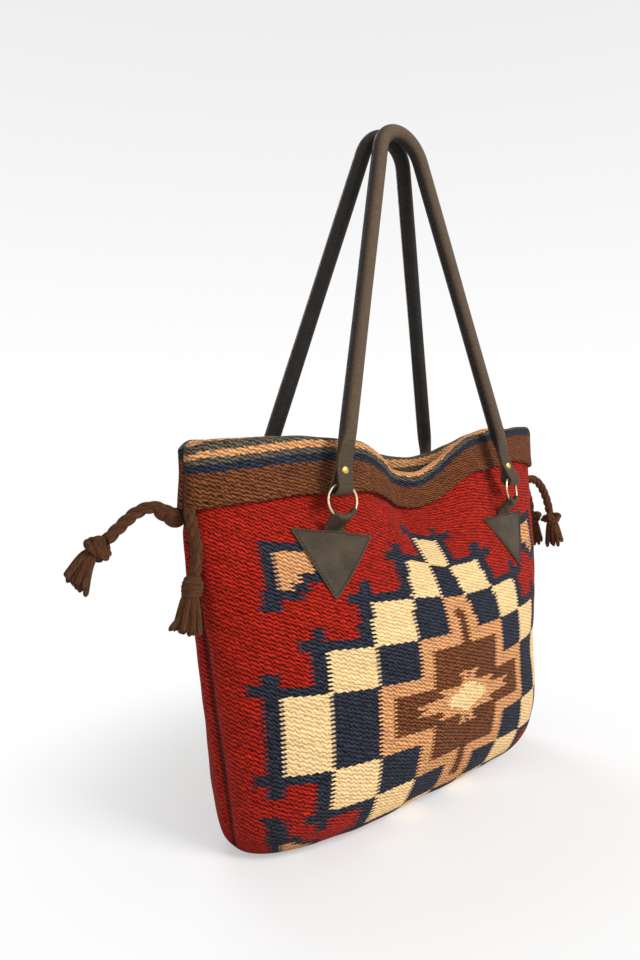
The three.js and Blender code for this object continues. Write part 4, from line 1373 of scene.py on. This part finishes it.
def ring_piece(side, name, hand):
    """A round wire ring, with the fine line where its ends were brazed together."""
    yaw = math.radians(RING_YAW) * hand
    turn, wire_turn = around(96)[:, None], around(16)
    wire = RING_WIRE / 2 * (1.0 - BRAZE_DEPTH * bell(turn - BRAZE_TURN, BRAZE_WIDTH))
    reach = RING_RADIUS + wire * np.cos(wire_turn)
    x = reach * np.cos(turn)
    y = wire * np.sin(wire_turn)
    local = stacked(
        x * math.cos(yaw) - y * math.sin(yaw) + hand * TAB_SPACING / 2,
        x * math.sin(yaw) + y * math.cos(yaw),
        reach * np.sin(turn) + RING_CENTRE,
    )
    quads = np.vstack([grid_quads(*x.shape, closed=True), closing_quads(*x.shape)])
    points = side.placed(local.reshape(-1, 3), side.low)
    piece = add_piece(f"{name}_wire_ring", points, quads, ring_metal, f"{name}_ring")
    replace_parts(piece, f"{name}_ring")
    return face_outward(piece)


def leg_x(height):
    return TAB_SPACING / 2 - LEG_SLOPE * height


def handle_line():
    """Middle line of a handle, up one leg and down the other, with the way to its inner side."""
    neck = np.linspace(HANDLE_END_LENGTH - SLEEVE_OVERLAP, NECK_TOP, 20)
    legs = np.concatenate([neck, np.linspace(LEG_FOOT, LEG_TOP, 90)])
    turns = np.linspace(math.pi - LEG_TURN, LEG_TURN, 44)
    left = stacked(-leg_x(legs), 0.0, legs)
    bend = stacked(HANDLE_BEND_RADIUS * np.cos(turns), 0.0, BEND_CENTRE + HANDLE_BEND_RADIUS * np.sin(turns))
    line = np.vstack([left, bend, left[::-1] * [-1.0, 1.0, 1.0]])
    forward = unit(np.gradient(line, axis=0))
    return line, stacked(forward[:, 2], 0.0, -forward[:, 0])


def handle_section(height, turn):
    """Section of the rolled leather at a height: round, with a sewn groove inside, and flat at the ends."""
    share = smoothstep(height, HANDLE_END_LENGTH, NECK_TOP)
    wide = lerp(HANDLE_END_WIDTH / 2, HANDLE_DIAMETER / 2, share)
    deep = lerp(FLAT_HALF_DEPTH, HANDLE_DIAMETER / 2, share)
    power = lerp(FLAT_POWER, 1.0, share)
    a = np.sign(np.cos(turn)) * np.abs(np.cos(turn)) ** power * wide
    b = np.sign(np.sin(turn)) * np.abs(np.sin(turn)) ** power * deep
    from_seam = np.abs((turn + np.pi) % (2 * np.pi) - np.pi)
    groove = GROOVE_DEPTH * bell(from_seam, GROOVE_WIDTH)
    groove = groove - LIP_HEIGHT * bell(from_seam - LIP_TURN, LIP_WIDTH)
    return a * (1.0 - share * groove), b * (1.0 - share * groove)


def handle_sleeve(side):
    """The rolled leather of a handle, drawn flat towards the rings, paler on its outer side with wear from
    rubbing and a painted highlight.
    """
    line, inward = handle_line()
    turn = around(40)
    rows = []
    for point, way, along in zip(line, inward, path_lengths(line)):
        a, b = handle_section(point[2], turn)
        in_neck = smoothstep(point[2], NECK_TOP, NECK_FOOT)
        crumple = 0.16 * math.sin(along / 2.3) + 0.22 * math.sin(along / 5.1 + 1.0)
        slack = 1.0 + 0.012 * math.sin(along / 31.0) + 0.02 * crumple * in_neck
        across = unit(lerp(way, np.array([math.copysign(1.0, way[0]), 0.0, 0.0]), in_neck))
        rows.append(point + np.outer(a * slack, across) + np.outer(b * slack, [0.0, 1.0, 0.0]))
    # Painted highlight with wear from rubbing: the outer side of the roll, away from the bag, is painted
    # paler as if lit; the inner side keeps the dark leather as painted shade.
    outward = smoothstep(-np.sin(turn), 0.2, 0.8)
    rolled = smoothstep(line[:, 2], HANDLE_END_LENGTH, NECK_TOP)[:, None]
    wear_and_highlight = lerp(END_RUBBED, HANDLE_WEAR_AND_HIGHLIGHT * outward, rolled).reshape(-1)
    points = side.placed(np.concatenate(rows), side.high)
    name, body = f"{side.name}_rolled_handle", f"{side.name}_handle"
    piece = leather_piece(name, points, len(turn), wear_and_highlight, body, handle_leather)
    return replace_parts(piece, f"{side.name}_handle_sleeve")


def handle_stitches(side):
    """Thread that closes the rolled leather along its inner side."""
    line, inward = handle_line()
    keep = line[:, 2] > NECK_TOP
    seam = (line + inward * SEAM_REACH)[keep]

    def place(pair):
        start, end, out = side.placed(np.vstack([pair[:, :3], pair[0, :3] + pair[0, 3:]]), side.high)
        return start, end, unit(out - start)

    values = np.hstack([seam, inward[keep]])
    name, body = f"{side.name}_handle_stitches", f"{side.name}_handle"
    return sew(name, body, seam, values, HANDLE_STITCHES, place)


def handle_end(side, name, hand):
    """The flat end of a handle, folded round its ring."""
    radius = HANDLE_BORE + LEATHER_THICKNESS / 2
    turns = np.radians(np.linspace(*END_BEND, 13))
    rising = stacked(0.0, -LEATHER_THICKNESS / 2, END_RISES)
    bend = stacked(0.0, -radius * np.cos(turns), -radius * np.sin(turns))
    line = smooth_line(np.vstack([rising, bend, rising[::-1] * [1.0, -1.0, 1.0]]), 5)
    forward = unit(np.gradient(line, axis=0))
    thick_way = stacked(0.0, -forward[:, 2], forward[:, 1])
    line = line + np.outer(hand * leg_x(line[:, 2]), [1.0, 0.0, 0.0])
    outline, cut = strap_section(HANDLE_END_WIDTH, LEATHER_THICKNESS)
    points = line[:, None] + outline[:, :1] * [1.0, 0.0, 0.0] + outline[:, 1:] * thick_way[:, None]
    cut = np.maximum(np.tile(cut, len(line)), END_RUBBED)
    points = side.placed(points, side.high)
    body = f"{side.name}_handle"
    return leather_piece(f"{name}_handle_end", points, len(outline), cut, body, handle_leather)


def rivet_piece(side, name, hand):
    """A brass rivet: a domed cap on a thin rim in front, a washer behind."""
    head = RIVET_HEAD_DIAMETER / 2
    face = LEATHER_THICKNESS + RIVET_PLAY
    dome = np.radians(np.linspace(2.0, 86.0, 12))
    profile = np.array([
        *zip(head * 0.93 * np.sin(dome), -face - RIVET_RIM - (RIVET_DOME - RIVET_RIM) * np.cos(dome)),
        (head * 0.97, -face - 0.42), (head, -face - 0.25), (head * 0.98, -face + 0.1),
        (RIVET_SHANK_RADIUS, -face + 0.2), (RIVET_SHANK_RADIUS, face - 0.2),
        (head * 0.85, face - 0.1), (head * 0.85, face + 0.5), (head * 0.78, face + 0.75),
        (0.5, face + 0.8), (0.05, face + 0.8),
    ])
    turn = around(32)
    x = profile[:, :1] * np.cos(turn) + hand * leg_x(RIVET_HEIGHT)
    z = profile[:, :1] * np.sin(turn) + RIVET_HEIGHT
    points = side.placed(stacked(x, profile[:, 1:], z).reshape(-1, 3), side.high)
    faces = capped(len(profile), len(turn))
    body = f"{side.name}_handle"
    piece = add_piece(f"{name}_domed_rivet", points, faces, rivet_brass, body)
    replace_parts(piece, f"{name}_rivet")
    return face_outward(piece)


for side in (Side("front"), Side("back")):
    for hand in (-1, 1):
        place = "left" if (hand < 0) != side.behind else "right"
        for make in (tab_triangle, tab_stitches, tab_strap, ring_piece, handle_end, rivet_piece):
            make(side, f"{side.name}_{place}", hand)
    handle_sleeve(side)
    handle_stitches(side)
    core = frame["nodes"][f"{side.name}_handle_core"]
    core.data.materials.clear()
    core.data.materials.append(rope)


# Floor, light and camera, in metres

FLOOR_RADIUS = 9.0
FLOOR_HEIGHT = -0.0006
FLOOR_COLOUR = (0.94, 0.94, 0.94, 1.0)
WHITE = (1.0, 1.0, 1.0, 1.0)
# From where to where the floor fades into the backdrop, and how much of it has faded at the bag
FADE_FROM = 0.16
FADE_TO = 0.45
FADED_AT_BAG = 0.4
WORLD_LIGHT = 0.3
BACKDROP = 1.0
BACKDROP_EDGE = 0.84


def seen_directly(look):
    """1 for rays from the camera, mirrors and glass, 0 for those that carry light."""
    path = look.node("ShaderNodeLightPath")
    rays = look.add(path.outputs["Is Camera Ray"], path.outputs["Is Glossy Ray"])
    return look.maths("MINIMUM", look.add(rays, path.outputs["Is Transmission Ray"]), 1.0)


def pale_floor():
    """A plain floor that keeps the bag's shadow and fades into the backdrop further out."""
    place = (0.0, 0.0, FLOOR_HEIGHT)
    bpy.ops.mesh.primitive_circle_add(vertices=96, radius=FLOOR_RADIUS, fill_type="NGON", location=place)
    floor = bpy.context.object
    floor.name = "floor"
    look = Look("pale_floor")
    look.set(Base_Color=FLOOR_COLOUR, Roughness=0.9, Specular_IOR_Level=0.1)
    away = look.node("ShaderNodeVectorMath", {0: look.coordinates()}, operation="LENGTH").outputs["Value"]
    inputs = {"Value": away, "From Min": FADE_FROM, "From Max": FADE_TO, "To Min": FADED_AT_BAG}
    ring = look.node("ShaderNodeMapRange", inputs, interpolation_type="SMOOTHSTEP").outputs["Result"]
    glow = look.node("ShaderNodeEmission", {"Color": WHITE}).outputs["Emission"]
    share = look.times(ring, seen_directly(look))
    mix = look.node("ShaderNodeMixShader", {0: share, 1: look.shader.outputs["BSDF"], 2: glow})
    look.feed(look.tree.nodes["Material Output"].inputs["Surface"], mix.outputs["Shader"])
    floor.data.materials.append(look.material)


class WorldLook(Look):
    """The same short way to add nodes, in the world's tree."""

    def __init__(self, world):
        world.use_nodes = True
        self.tree = world.node_tree


def pale_world():
    world = bpy.data.worlds.new("studio")
    bpy.context.scene.world = world
    look = WorldLook(world)
    background = look.tree.nodes["Background"]
    look.feed(background.inputs["Color"], WHITE)
    height = look.node("ShaderNodeSeparateXYZ", {0: look.coordinates("Generated")}).outputs["Z"]
    seen = look.spread(height, BACKDROP, BACKDROP_EDGE, From_Min=0.1, From_Max=0.55)
    look.feed(background.inputs["Strength"], look.mixed(seen_directly(look), WORLD_LIGHT, seen))


def add_holder(name, data, *columns):
    """An object for a lamp or the camera, from its three axes and its place."""
    axes = np.eye(4)
    axes[:3] = np.column_stack(columns)
    holder = bpy.data.objects.new(name, data)
    bpy.context.scene.collection.objects.link(holder)
    holder.matrix_world = Matrix(axes.tolist())
    return holder


def soft_lamp(name, place, target, size, power):
    lamp = bpy.data.lights.new(name, "AREA")
    lamp.size = size
    lamp.energy = power
    back = unit(np.array(place) - np.array(target))
    side = unit(np.cross([0.0, 0.0, 1.0], back))
    add_holder(name, lamp, side, np.cross(back, side), back, place)


# The camera that fits the photograph's frame of 640 by 960 pixels, its place in millimetres
CAMERA_PLACE = (-554.727, -479.711, 326.755)
CAMERA_YAW = 43.612
CAMERA_PITCH = 2.104
CAMERA_ROLL = -0.169
FOCAL_PIXELS = 742.64
LONG_SIDE_PIXELS = 960.0
SENSOR = 36.0


def photo_camera():
    yaw, pitch, roll = (math.radians(angle) for angle in (CAMERA_YAW, CAMERA_PITCH, CAMERA_ROLL))
    ahead = np.array([math.sin(yaw) * math.cos(pitch), math.cos(yaw) * math.cos(pitch), -math.sin(pitch)])
    level = np.array([math.cos(yaw), -math.sin(yaw), 0.0])
    up = np.cross(level, ahead)
    right = level * math.cos(roll) + up * math.sin(roll)
    top = up * math.cos(roll) - level * math.sin(roll)
    lens = bpy.data.cameras.new("photo_camera")
    lens.sensor_width = SENSOR
    lens.lens = FOCAL_PIXELS / LONG_SIDE_PIXELS * SENSOR
    place = np.array(CAMERA_PLACE) * MM
    bpy.context.scene.camera = add_holder("photo_camera", lens, right, top, -ahead, place)


pale_floor()
pale_world()
soft_lamp("key", (0.35, -1.9, 1.5), (0.0, 0.0, 0.25), 0.9, 47.0)
soft_lamp("fill", (-1.8, -1.2, 1.0), (0.0, 0.0, 0.2), 1.4, 10.0)
soft_lamp("back", (0.6, 1.9, 1.6), (0.0, 0.0, 0.3), 1.2, 20.0)
photo_camera()
bpy.context.scene.view_settings.view_transform = "Standard"
